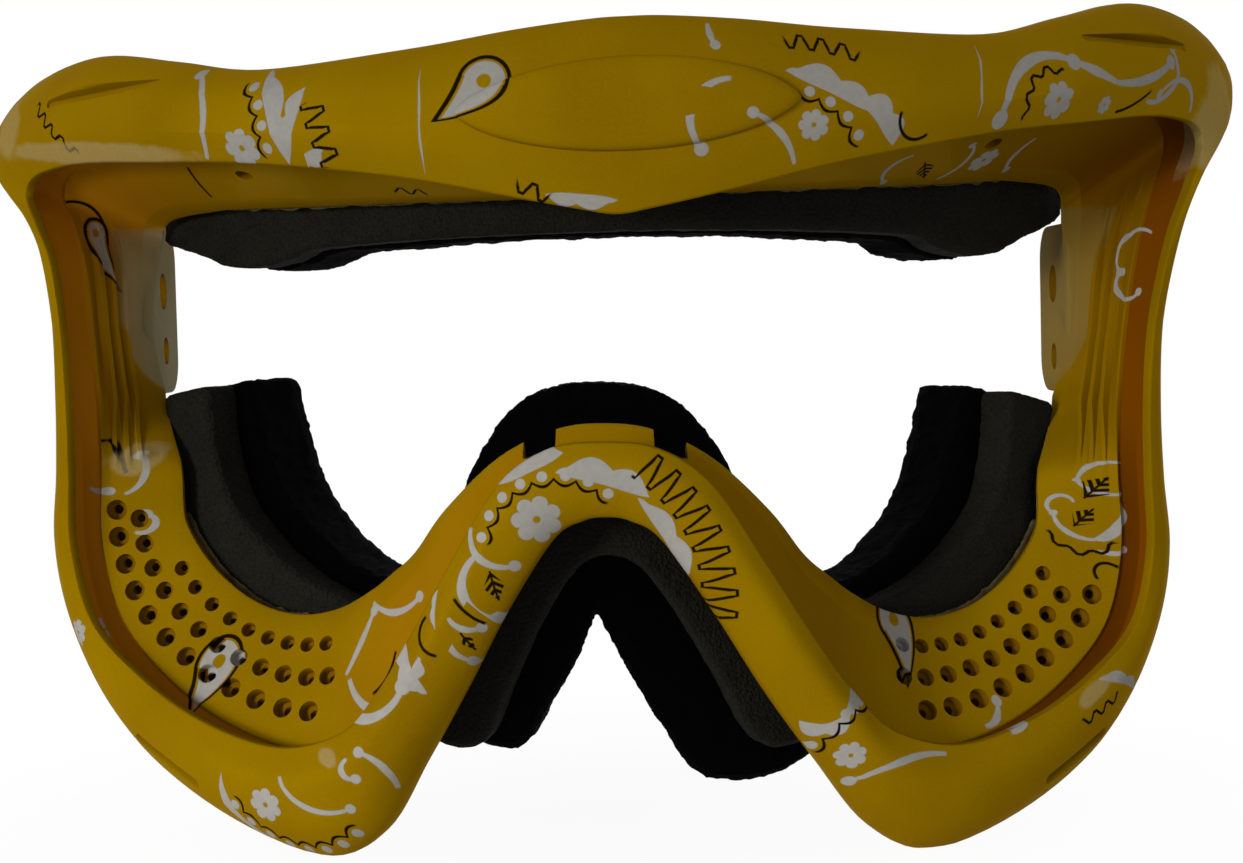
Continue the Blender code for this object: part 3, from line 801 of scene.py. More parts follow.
@dataclass(frozen=True)
class RimSizes:
    """The wall sections of the frame and how they change round it."""

    groove_width: float = 3.2
    lip_thickness: float = 1.4
    ledge_thickness: float = 2.0
    wall_thickness: float = 2.2
    edge_thickness: float = 3.2
    groove_rear_depth: float = 1.5
    wall_step: float = 1.5
    pocket_rise: dict[str, float] = profile(
        brow_centre=5.0, cheek_turn=5.0, cheek_low=8.0, cheek_bottom=9.0, nose_foot=5.0,
    )
    rib_height: float = 1.1
    lip_reach: dict[str, float] = profile(
        brow_centre=8.2, brow_inner=6.2, brow_quarter=4.2, brow_dip=3.6, nose_apex=3.5,
    )
    crest: dict[str, float] = profile(
        brow_centre=6.0, brow_hump=5.5, horn_tip=4.5, temple_mid=2.8, cheek_side=3.0, cheek_bottom=5.0,
        nose_apex=4.8,
    )
    shoulder: dict[str, float] = profile(
        brow_centre=4.8, brow_hump=4.2, horn_tip=2.4, temple_mid=1.4, cheek_side=1.4, cheek_bottom=3.2,
        nose_leg=4.0, nose_apex=4.0,
    )
    edge: dict[str, float] = profile(
        brow_centre=-0.6, brow_hump=-1.2, horn_tip=-3.0, temple_mid=-1.4, cheek_side=-2.0,
        cheek_bottom=-2.6, nose_leg=1.2, nose_apex=1.4,
    )
    pocket: dict[str, float] = profile(
        brow_centre=1.0, brow_rise=1.0, horn_top=0.0, temple_low=0.0, cheek_top=0.6, cheek_side=1.0,
        cheek_turn=1.0, cheek_low=1.0, cheek_bottom=0.9, nose_foot=0.0,
    )
    wall_rear: dict[str, float] = profile(
        brow_centre=-26.0, horn_top=-26.0, cheek_top=-18.0, cheek_side=-24.0, cheek_turn=-22.0,
        cheek_low=-20.0, cheek_bottom=-20.0, nose_foot=-14.0,
    )
    vault: dict[str, float] = profile(
        horn_top=0.0, temple_low=0.4, cheek_side=0.82, cheek_turn=0.82, cheek_bottom=0.4,
    )
    ribs: dict[str, float] = profile(horn_low=0.0, temple_top=1.0, temple_low=1.0, cheek_top=0.0)
    rib_places: tuple[float, ...] = (0.49, 0.65, 0.81)
    rib_width: float = 0.055
    channel: dict[str, float] = profile(
        brow_hump=0.02, horn_tip=0.1, horn_root=0.15, temple_low=0.15, cheek_side=0.12, cheek_turn=0.07,
        cheek_bottom=0.04, nose_foot=0.02,
    )
    channel_lip: float = 0.6
    ledge_lap: dict[str, float] = profile(
        brow_rise=0.0, horn_top=2.0, horn_tip=3.2, horn_low=3.2, horn_root=1.8, temple_top=0.3,
        temple_mid=0.0, temple_low=4.6, cheek_top=3.2, cheek_side=0.5, cheek_corner=0.0,
    )
    # painted shade and bounce light on the ledge's front, as a share of the groove's painted colour
    ledge_shade: dict[str, float] = profile(
        brow_dip=0.0, brow_hump=0.4, horn_tip=0.75, temple_top=0.3, temple_low=0.2, cheek_top=0.0,
        cheek_bottom=0.0, nose_foot=0.2, nose_heel=0.35, nose_shoulder=0.35, nose_apex=0.15,
    )
    crease: dict[str, float] = profile(
        brow_inner=0.0, brow_quarter=0.5, brow_dip=0.85, brow_hump=0.85, horn_tip=0.2, temple_top=0.0,
    )
    front_shares: tuple[float, ...] = (0.05, 0.12, 0.2, 0.3, 0.4, 0.5, 0.6, 0.7, 0.79, 0.87, 0.94)


RIM = RimSizes()


class RimSection:
    """One cross-section of the frame, at a station of either half."""

    def __init__(self, place: float) -> None:
        """Finds the section's main places; a place below nought is on the left half."""
        self.place = abs(place)
        before = (OUTLINE * OUTLINE_SIGNS)[1:3][::-1]
        after = (OUTLINE * OUTLINE_SIGNS)[-3:-1][::-1]
        row = curve_at(np.concatenate([before, OUTLINE, after]), self.place + 2)
        if place < 0:
            row = row * OUTLINE_SIGNS
        self.lip, self.rim, self.ledge, self.ledge_n = row[0:2], row[2:4], row[4:6], float(row[6])
        out = self.rim - self.lip
        self.out = out / np.linalg.norm(out)
        self.ledge = self.ledge - self.out * profile_at(RIM.ledge_lap, self.place)
        self.groove = self.lip + self.out * profile_at(RIM.lip_reach, self.place)
        self.step = self.groove - self.out * RIM.groove_rear_depth

    def band(self, share: float) -> Flat:
        """A place on the rim's front, from the lip (0) to the outer edge (1)."""
        shoulder, edge = profile_at(RIM.shoulder, self.place), profile_at(RIM.edge, self.place)
        keys = np.array(
            [
                [RIM.groove_width / 2 + RIM.lip_thickness],
                [profile_at(RIM.crest, self.place)],
                [shoulder],
                [0.45 * shoulder + 0.55 * edge],
                [edge],
            ]
        )
        where = float(np.interp(share, (0.0, 0.3, 0.7, 0.92, 1.0), range(5)))
        crease = profile_at(RIM.crease, self.place) * max(0.0, 1 - abs(share - 0.3) / 0.4)
        smooth, straight = float(curve_at(keys, where)[0]), float(np.interp(where, range(5), keys[:, 0]))
        return self.lip + (self.rim - self.lip) * share, smooth + (straight - smooth) * crease

    def ledge_point(self, share: float) -> Flat:
        """A place on the ledge's front, from the groove (0) to its free edge (1)."""
        start = -RIM.groove_width / 2
        return self.step + (self.ledge - self.step) * share, start + (self.ledge_n - start) * share

    def ledge_back(self) -> np.ndarray:
        """The direction off the ledge's back, as parts along the outward line and along n."""
        along = np.array([np.dot(self.ledge - self.step, self.out), self.ledge_n + RIM.groove_width / 2])
        along = along / np.linalg.norm(along)
        return np.array([-along[1], along[0]])

    def tip(self) -> Flat:
        """The rear corner of the ledge's free edge."""
        off, back = self.ledge_back() * RIM.ledge_thickness
        return self.ledge + self.out * off, self.ledge_n + back

    def front(self) -> list[tuple[Flat, float]]:
        """The front of the rim, with how far each corner is rounded."""
        edge = profile_at(RIM.edge, self.place)
        half = RIM.groove_width / 2
        return [
            ((self.lip, half), 0.25),
            ((self.lip, half + RIM.lip_thickness), 0.3),
            *[(self.band(share), 0.0) for share in RIM.front_shares],
            ((self.rim, edge), 0.9),
            ((self.rim, edge - RIM.edge_thickness), 0.7),
        ]

    def rear(self) -> list[tuple[Flat, float]]:
        """The back of the wall, the pocket for the pad and the ledge's free edge."""
        pocket, vault = profile_at(RIM.pocket, self.place), profile_at(RIM.vault, self.place)
        tip, tip_n = self.tip()
        deep = profile_at(RIM.wall_rear, self.place)
        rise = profile_at(RIM.pocket_rise, self.place)
        inner = tip + self.out * rise
        roof = tip + vault * (self.step - self.ledge)
        if vault == 0.0:
            roof = roof + self.out * rise
        full = [
            (inner + self.out * RIM.wall_thickness, deep),
            (inner, deep),
            (roof, tip_n + vault * (-RIM.groove_width / 2 - self.ledge_n)),
            (tip, tip_n),
        ]
        flat = [
            (tip + (tip - self.ledge) * share, tip_n + (tip_n - self.ledge_n) * share)
            for share in (0.0, -0.25, -0.5, -0.75)
        ]
        rows = [
            (((1 - pocket) * a[0] + pocket * b[0], (1 - pocket) * a[1] + pocket * b[1]), 0.4)
            for a, b in zip(flat, full)
        ]
        start = (self.groove + self.out * RIM.wall_step, -RIM.groove_width / 2 - RIM.wall_step)
        return [(start, 1.2), *rows, ((self.ledge, self.ledge_n), 0.5)]

    def raised(self, share: float, height: float) -> Flat:
        """A place at a height off the ledge's front, its share counted from the channel's edge."""
        start = profile_at(RIM.channel, self.place)
        flat, n = self.ledge_point(start + (1 - start) * share)
        off, back = self.ledge_back() * height
        return flat - self.out * off, n - back

    def inside(self) -> list[tuple[Flat, float]]:
        """The ledge's front with the temple's ribs."""
        height, half = RIM.rib_height * profile_at(RIM.ribs, self.place), RIM.rib_width / 2
        points = [(self.raised(0.8, 0.0), 0.0)]
        for rib in RIM.rib_places:
            for share, rise in ((half + 0.015, 0.0), (half, height), (-half, height), (-half - 0.015, 0.0)):
                points.append((self.raised(1 - rib + share, rise), 0.0))
        return [*points, (self.raised(0.1, 0.0), 0.0)]

    def groove_rows(self) -> list[tuple[Flat, float]]:
        """The channel's edge, the channel and the lens groove."""
        deep = profile_at(RIM.channel, self.place) / 0.2
        half = RIM.groove_width / 2
        return [
            (self.raised(0.012, RIM.channel_lip * deep), 0.25),
            (self.raised(-0.004, -0.5 * deep), 0.15),
            ((self.groove, -half), 0.25),
            ((self.groove, half), 0.25),
        ]

    def rows(self) -> list[tuple[Flat, float, float]]:
        """The section's corners, how far each is rounded, and how far each takes the groove's painted shade.
        """
        edge, *groove = self.groove_rows()
        shade = profile_at(RIM.ledge_shade, self.place)
        plain = [(*row, 0.0) for row in self.front() + self.rear()]
        return [*plain, *[(*row, shade) for row in (*self.inside(), edge)], *[(*row, 1.0) for row in groove]]

    def ring(self) -> list[Vector]:
        """The whole section as points in metres, its corners rounded."""
        corners, radii, _ = zip(*self.rows())
        return rounded([bent(corner) for corner in corners], radii)

    def shade_paint_shares(self) -> list[float]:
        """How far each point of the ring takes the groove's painted shade."""
        return [tint for _, radius, tint in self.rows() for _ in range(3 if radius else 1)]


@dataclass
class GoggleFrame:
    """The moulding: brow bar, rim, lens groove, vented cheeks, nose bridge and strap tabs."""

    steps: int = 7
    vent_columns: int = 12
    vent_rows: tuple[tuple[float, float, int], ...] = ((0.3, 2.7, 0), (0.53, 2.4, 0), (0.76, 2.0, 3))
    vent_flare: float = 0.12
    vent_neck: float = 0.5
    # the mark that paints shade on the holes' walls
    hole_shade_paint: float = 2.0
    vent_depth: float = 3.85
    blind_depth: float = 1.7
    closed_columns: int = 3
    brow_vent: float = 2.4
    tab_outset: float = 1.16
    tab_thickness: float = 2.2
    tab_front_lap: float = 1.94
    tab_length: float = 22.0
    tab_height: tuple[float, float] = (-11.0, 15.0)
    tab_corner: float = 5.5
    tab_edge: float = 0.45
    tab_holes: tuple[tuple[float, float, float], ...] = ((11.0, 5.4, 5.6), (11.4, -4.9, 4.0))
    slot_share: float = 0.66
    slot_depth: float = 1.6
    slot_height: float = 1.4
    visor_slot: float = 23.0
    visor_turn: float = 10.0
    skirt_slot: float = 13.0
    notch_width: float = 4.4
    notch_depth: float = 3.2
    boss_length: float = 42.0
    boss_height: float = 12.0
    boss_rise: float = 1.2
    boss_z: float = 27.5

    def body(self) -> bpy.types.Mesh:
        """Lofts the ring-shaped body through its stations."""
        count = LAST_STATION * self.steps
        places = [k / self.steps for k in range(count + 1)]
        places += [-k / self.steps for k in range(count - 1, 0, -1)]
        bm = bmesh.new()
        loft(bm, [RimSection(place).ring() for place in places], closed=True)
        # each face keeps the mean painted shade share of its corners
        shade_paint_shares = [tint for place in places for tint in RimSection(place).shade_paint_shares()]
        layer = bm.faces.layers.float.new(PAINTED_SHADE_LAYER)
        bm.verts.index_update()
        for face in bm.faces:
            face[layer] = float(np.mean([shade_paint_shares[vert.index] for vert in face.verts]))
        return to_mesh(bm, "goggle_frame_body")

    def round_cutter(
        self,
        bm: bmesh.types.BMesh,
        mouth: Vector,
        axis: Vector,
        diameter: float,
        depth: float,
        neck: float = 0.0,
    ) -> None:
        """Adds a round cutter with a flared mouth.

        Args:
            bm: the mesh that gets it.
            mouth: the middle of the hole's mouth.
            axis: the way into the hole.
            diameter: the hole's diameter.
            depth: how deep it goes.
            neck: by which share of its radius it narrows inside.
        """
        side = axis.orthogonal().normalized()
        other = axis.cross(side)
        flare = self.vent_flare
        narrow = -neck * diameter / 2
        steps = [(-1.2, 1.6 * flare), (0.0, flare), (0.18, 0.4 * flare)]
        steps += [(0.5, 0.0), (1.3, 0.0), (1.5, narrow), (depth, narrow)]
        rings = []
        for along, wider in steps:
            radius = (diameter / 2 + wider) * MM
            middle = mouth + axis * along * MM
            rings.append([middle + (side * math.cos(t) + other * math.sin(t)) * radius for t in turns(22)])
        # The cutter's faces carry the painted hole shade onto the holes' walls.
        layer = bm.faces.layers.float.get(PAINTED_SHADE_LAYER) or bm.faces.layers.float.new(PAINTED_SHADE_LAYER)
        known = set(bm.faces)
        loft(bm, rings, closed=False)
        for face in set(bm.faces) - known:
            face[layer] = self.hole_shade_paint

    def vents(self) -> bpy.types.Mesh:
        """Cutters for the open holes in both cheek ledges and the two brow vents; the rest are left uncut or
        cut shallow.
        """
        bm = bmesh.new()
        first, last = station("cheek_side", -0.4), station("cheek_bottom", 0.2)
        for side in (1, -1):
            for row, (share, diameter, start) in enumerate(self.vent_rows):
                for column in range(max(start, self.closed_columns if side > 0 else 0), self.vent_columns):
                    along = (column + 0.5 * (row % 2)) / (self.vent_columns - 0.5)
                    blind = start and column >= self.vent_columns - 2
                    depth = self.blind_depth if blind else self.vent_depth
                    self.vent(bm, side * (first + (last - first) * along), share, diameter, depth)
            self.vent(bm, side * station("brow_dip", 0.4), 0.42, self.brow_vent, self.vent_depth)
        return to_mesh(bm, "vents")

    def vent(self, bm: bmesh.types.BMesh, place: float, share: float, diameter: float, depth: float) -> None:
        """Adds the cutter of one hole, square to the ledge."""
        section = RimSection(place)
        flat, n = section.ledge_point(share)
        off, back = section.ledge_back()
        mouth = bent((flat, n))
        axis = (bent((flat + section.out * off, n + back)) - mouth).normalized()
        self.round_cutter(bm, mouth, axis, diameter, depth, self.vent_neck)

    def tab_point(self, side: int, out: float, back: float, z: float) -> Vector:
        """A place on a strap tab, counted from the middle of its front edge."""
        s, _, n = STATIONS["temple_mid"][2]
        wall = BEND.point(side * s, z, n)
        x = wall.x + side * (self.tab_outset + out) * MM
        return Vector((x, wall.y + (back - self.tab_front_lap) * MM, wall.z))

    def tab(self, side: int) -> bpy.types.Mesh:
        """A strap tab: a flat plate with rounded corners and softened edges."""
        bm = bmesh.new()
        bmesh.ops.create_cube(bm, size=1.0)
        low, high = self.tab_height
        size = (self.tab_thickness, self.tab_length, high - low)
        bmesh.ops.scale(bm, vec=Vector(size) * MM, verts=bm.verts)
        corners = [e for e in bm.edges if abs(e.verts[0].co.x - e.verts[1].co.x) > 1e-6]
        soften(bm, corners, self.tab_corner, 8)
        rims = [e for e in bm.edges if e.calc_face_angle(0.0) > 1.2]
        soften(bm, rims, self.tab_edge, 3)
        middle = self.tab_point(side, 0.0, self.tab_length / 2, (low + high) / 2)
        bmesh.ops.translate(bm, vec=middle, verts=bm.verts)
        return to_mesh(bm, "tab")

    def tab_hole_cutters(self, side: int) -> bpy.types.Mesh:
        """Cutters for the two holes in a strap tab."""
        bm = bmesh.new()
        for back, z, diameter in self.tab_holes:
            mouth = self.tab_point(side, -self.tab_thickness / 2, back, z)
            self.round_cutter(bm, mouth, Vector((side, 0, 0)), diameter, 2 * self.tab_thickness)
        return to_mesh(bm, "tab_holes")

    def slot(self, bm: bmesh.types.BMesh, place: float, length: float, turn: float = 0.0) -> None:
        """Adds a cutter for a round-ended slot along the rim's front.

        Args:
            bm: the mesh that gets the cutter.
            place: where on the rim its middle is.
            length: its whole length in millimetres.
            turn: how far its outer end leans down, in degrees.
        """
        share = self.slot_share
        section = RimSection(place)
        point = bent(section.band(share))
        before, after = (bent(RimSection(place + step).band(share)) for step in (-0.2, 0.2))
        along = (after - before).normalized()
        across = bent(section.band(share + 0.04)) - point
        out = along.cross(across).normalized()
        if out.y > 0:
            out = -out
        along = Matrix.Rotation(math.radians(math.copysign(turn, -place)), 3, out) @ along
        up = out.cross(along).normalized()
        rings = []
        for level, wider in ((1.5, 0.9), (0.15, 0.6), (-0.45, 0.1), (-self.slot_depth, -0.2)):
            half = self.slot_height / 2 + wider
            ring = []
            for angle in turns(28):
                shift = math.copysign(length / 2 - self.slot_height / 2, math.cos(angle))
                spot = along * (shift + half * math.cos(angle)) + up * (half * math.sin(angle)) + out * level
                ring.append(point + spot * MM)
            rings.append(ring)
        loft(bm, rings, closed=False)

    def slots(self) -> bpy.types.Mesh:
        """Cutters for the visor slots on the bar's ends and the skirt slots under the cheeks."""
        bm = bmesh.new()
        for side in (1, -1):
            self.slot(bm, side * station("brow_rise", 0.65), self.visor_slot, self.visor_turn)
            self.slot(bm, side * station("cheek_turn", 0.7), self.skirt_slot)
        return to_mesh(bm, "slots")

    def notches(self) -> bpy.types.Mesh:
        """Cutters for the two gaps between the three lens tabs over the nose."""
        bm = bmesh.new()
        for side in (1, -1):
            section = RimSection(side * station("nose_crown", -0.25))
            point = bent((section.ledge, section.ledge_n))
            along = (bent((section.ledge + np.array([1.0, 0.0]), section.ledge_n)) - point).normalized()
            up = Vector((0, 0, 1))
            turn = Matrix((along, up, along.cross(up))).transposed().to_4x4()
            size = (self.notch_width * MM, 2 * self.notch_depth * MM, 4 * RIM.ledge_thickness * MM, 1)
            bmesh.ops.create_cube(bm, size=1, matrix=Matrix.Translation(point) @ turn @ Matrix.Diagonal(size))
        return to_mesh(bm, "notches")

    def boss(self) -> bpy.types.Mesh:
        """The plain raised almond in the middle of the brow bar."""
        bm = bmesh.new()
        crest = RIM.crest["brow_centre"]
        top = self.boss_rise
        levels = ((0.0, -3.0), (0.0, 0.1), (0.25, 0.6), (0.8, 1.0), (1.8, top), (3.6, top + 0.15))
        rings = []
        for inset, rise in levels:
            ring = []
            for turn in turns(64):
                half = self.boss_length / 2 - 2.2 * inset
                up = (self.boss_height / 2 - inset) * math.sin(turn) * abs(math.sin(turn)) ** 0.3
                ring.append(BEND.point(half * math.cos(turn), self.boss_z + up, crest + rise))
            rings.append(ring)
        loft(bm, rings, closed=False)
        return to_mesh(bm, "boss")

    def build(self, finish: bpy.types.Material, figures: Sequence[Figure], layers: int) -> bpy.types.Object:
        """Makes the frame and lays the print on it.

        Args:
            finish: the lacquer.
            figures: the print's figures.
            layers: how many layers of figures may lie over each other.

        Returns:
            The frame's object.
        """
        obj = to_object(self.body(), "frame_moulding")
        for side in (1, -1):
            tab = to_object(self.tab(side), "tab")
            combine(tab, [("DIFFERENCE", self.tab_hole_cutters(side))])
            mesh = tab.data
            bpy.data.objects.remove(tab)
            combine(obj, [("UNION", mesh)])
        combine(obj, [("UNION", self.boss()), ("DIFFERENCE", self.slots()), ("DIFFERENCE", self.notches())])
        combine(obj, [("DIFFERENCE", self.vents())], crossing=True)
        obj.data.materials.clear()
        obj.data.materials.append(finish)
        obj.data.shade_smooth()
        obj.data.set_sharp_from_angle(angle=math.radians(38))
        lay_print(obj.data, figures, layers)
        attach(obj, BODY)
        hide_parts("goggle_frame")
        return obj


def lay_print(mesh: bpy.types.Mesh, figures: Sequence[Figure], layers: int) -> None:
    """Writes each figure's own coordinates on the faces that it covers.

    Args:
        mesh: the frame's mesh.
        figures: the print's figures.
        layers: how many figures may lie over each other.
    """
    corners = len(mesh.loops)
    verts = np.empty(len(mesh.vertices) * 3)
    mesh.vertices.foreach_get("co", verts)
    flat = BEND.flat(verts.reshape(-1, 3))
    corner_vert = np.empty(corners, int)
    mesh.loops.foreach_get("vertex_index", corner_vert)
    totals = np.empty(len(mesh.polygons), int)
    mesh.polygons.foreach_get("loop_total", totals)
    face_of = np.repeat(np.arange(len(totals)), totals)
    spots = flat[corner_vert]
    middles = np.stack([np.bincount(face_of, spots[:, k]) / totals for k in range(3)], axis=1)
    place = np.zeros((layers, corners, 3), np.float32)
    form = np.ones((layers, corners, 3), np.float32)
    for figure in figures:
        axes, low, high = figure.side.value
        origin, turn, size, span = figure.stance()
        turned = np.array([[math.cos(turn), -math.sin(turn)], [math.sin(turn), math.cos(turn)]])
        there = (middles[:, axes] - origin) @ turned
        on_side = np.all((middles > low) & (middles < high), axis=1)
        on = (on_side & figure.covers(*there.T, size, span))[face_of]
        layer = int(np.argmin([np.count_nonzero(place[k, on, 2]) for k in range(layers)]))
        place[layer, on, :2] = (spots[on][:, axes] - origin) @ turned
        place[layer, on, 2] = float(figure.motif)
        form[layer, on] = (size, span, figure.width)
    for layer in range(layers):
        for name, values in ((f"print_place_{layer}", place[layer]), (f"print_form_{layer}", form[layer])):
            attribute = mesh.attributes.new(name, "FLOAT_VECTOR", "CORNER")
            attribute.data.foreach_set("vector", values.ravel())


FLOWER, DROP, BEADS, ZIGZAG, SPRIG, CURL, FLAME, LINE, SCUFF = Motif
NOSE_PRINT: tuple[Figure, ...] = (
    Figure(FLAME, ((-15.4, -20.5), (-11.4, -18.0), (-6.9, -16.5)), 1.4),
    Figure(FLAME, ((-7.9, -19.0), (-2.4, -19.5), (3.6, -22.5)), 1.5),
    Figure(FLAME, ((2.1, -22.5), (5.6, -27.0), (8.6, -33.0)), 1.1),
    Figure(BEADS, ((-17.4, -28.0), (-11.9, -20.2), (-0.9, -22.5))),
    Figure(FLOWER, ((-10.4, -25.0),), 3.1),
    Figure(CURL, ((-18.9, -26.0), (-17.9, -29.5), (-13.4, -31.0)), 0.5),
    Figure(CURL, ((-17.9, -29.5), (-19.9, -33.0), (-15.9, -38.0)), 0.65),
    Figure(SPRIG, ((-16.4, -31.5), (-15.6, -35.5)), 1.3),
    Figure(LINE, ((-20.9, -35.0), (-19.4, -37.0), (-17.4, -38.5))),
    Figure(CURL, ((-21.7, -37.5), (-21.9, -41.0), (-19.4, -43.5)), 0.45),
    Figure(CURL, ((-21.7, -37.5), (-19.4, -39.2), (-17.9, -39.0)), 0.45),
    Figure(SPRIG, ((-20.4, -39.5), (-18.9, -42.0)), 0.7),
    Figure(LINE, ((-24.9, -37.5), (-25.6, -40.5), (-23.4, -42.5))),
    Figure(FLAME, ((-28.4, -40.0), (-27.6, -44.0), (-24.9, -47.5)), 1.2),
    Figure(FLAME, ((-23.4, -34.0), (-23.8, -36.5), (-23.4, -39.0)), 0.35),
    Figure(ZIGZAG, ((2.6, -18.0), (9.6, -26.0), (12.1, -39.5)), 2.0),
)
BAR_PRINT: tuple[Figure, ...] = (
    Figure(CURL, ((-56.4, 34.5), (-53.4, 29.0), (-54.4, 23.0)), 0.5),
    Figure(FLOWER, ((-48.1, 24.0),), 2.5),
    Figure(FLAME, ((-45.9, 34.5), (-42.9, 28.0), (-41.9, 21.5)), 1.4),
    Figure(FLAME, ((-38.9, 31.5), (-40.4, 27.5), (-41.4, 22.5)), 1.1),
    Figure(FLAME, ((-41.9, 21.5), (-39.4, 22.0), (-36.4, 23.5)), 1.0),
    Figure(BEADS, ((-47.4, 33.0), (-44.9, 28.5), (-44.4, 22.5))),
    Figure(ZIGZAG, ((-37.9, 29.5), (-36.4, 25.0), (-35.9, 21.0)), 1.4),
    Figure(DROP, ((-15.4, 31.0), (-17.4, 24.5)), 3.5),
    Figure(ZIGZAG, ((-86.9, 32.5), (-82.4, 29.0), (-77.9, 25.0)), 0.6),
    Figure(SCUFF, ((-98.4, 27.0), (-52.4, 23.0)), 1.9),
    Figure(FLAME, ((-23.7, 33.0), (-23.4, 26.0), (-23.4, 19.5)), 0.15),
    Figure(ZIGZAG, ((-11.9, 17.8), (-9.9, 17.0), (-7.9, 16.0)), 0.8),
    Figure(FLAME, ((-8.4, 16.5), (-4.4, 15.8), (0.6, 15.5)), 0.9),
    Figure(CURL, ((12.6, 38.0), (12.7, 36.5), (13.2, 35.0)), 0.45),
    Figure(CURL, ((14.3, 30.3), (9.3, 25.5), (10.8, 21.6)), 0.6),
    Figure(CURL, ((16.9, 26.0), (20.1, 24.0), (22.8, 19.7)), 0.5),
    Figure(ZIGZAG, ((22.1, 35.5), (26.6, 35.0), (31.6, 33.5)), 0.9),
    Figure(FLAME, ((21.6, 31.5), (27.6, 29.5), (32.6, 26.0)), 1.5),
    Figure(FLAME, ((30.6, 28.0), (34.1, 25.5), (36.1, 22.0)), 1.6),
    Figure(BEADS, ((23.1, 29.2), (27.6, 27.0), (31.6, 22.0))),
    Figure(FLOWER, ((24.8, 24.5),), 2.0),
    Figure(LINE, ((36.4, 26.2), (37.3, 23.4), (40.8, 23.5))),
    Figure(FLAME, ((49.1, 35.5), (48.2, 30.5), (47.8, 25.5)), 0.15),
    Figure(CURL, ((51.6, 25.5), (55.6, 33.0), (63.6, 33.5)), 0.8),
    Figure(CURL, ((63.6, 33.5), (67.1, 32.5), (71.1, 31.0)), 0.75),
    Figure(CURL, ((71.1, 31.0), (76.6, 31.5), (83.6, 34.5)), 0.7),
    Figure(ZIGZAG, ((55.8, 25.8), (56.6, 31.0), (61.4, 31.9)), 0.45),
    Figure(FLOWER, ((60.6, 28.3),), 2.5),
    Figure(FLOWER, ((69.9, 28.0),), 1.2),
    Figure(CURL, ((79.1, 29.0), (85.1, 32.5), (84.6, 36.5)), 0.5),
    Figure(CURL, ((81.6, 30.0), (88.1, 31.7), (91.3, 28.0)), 0.45),
    Figure(LINE, ((72.9, 27.2), (76.6, 28.5), (79.6, 30.6))),
    Figure(SCUFF, ((99.6, 37.0), (97.6, 17.0)), 7.0),
    Figure(SCUFF, ((-99.4, 35.0), (-92.4, 25.0)), 4.5),
    Figure(SPRIG, ((50.1, -11.0), (53.1, -15.0)), 1.5, Side.ROOF),
    Figure(FLOWER, ((62.6, -12.0),), 2.4, Side.ROOF),
    Figure(CURL, ((56.6, -8.0), (58.6, -12.0), (56.1, -15.5)), 0.4, Side.ROOF),
    Figure(CURL, ((69.6, -8.0), (69.1, -12.0), (71.1, -15.0)), 0.45, Side.ROOF),
    Figure(CURL, ((46.6, -9.0), (44.1, -13.0), (45.6, -15.5)), 0.4, Side.ROOF),
    Figure(ZIGZAG, ((-33.9, -12.0), (-31.4, -12.6), (-28.9, -13.0)), 0.8, Side.ROOF),
    Figure(LINE, ((-66.4, -6.0), (-68.4, -9.5), (-70.4, -14.0)), 0.17, Side.ROOF),
)
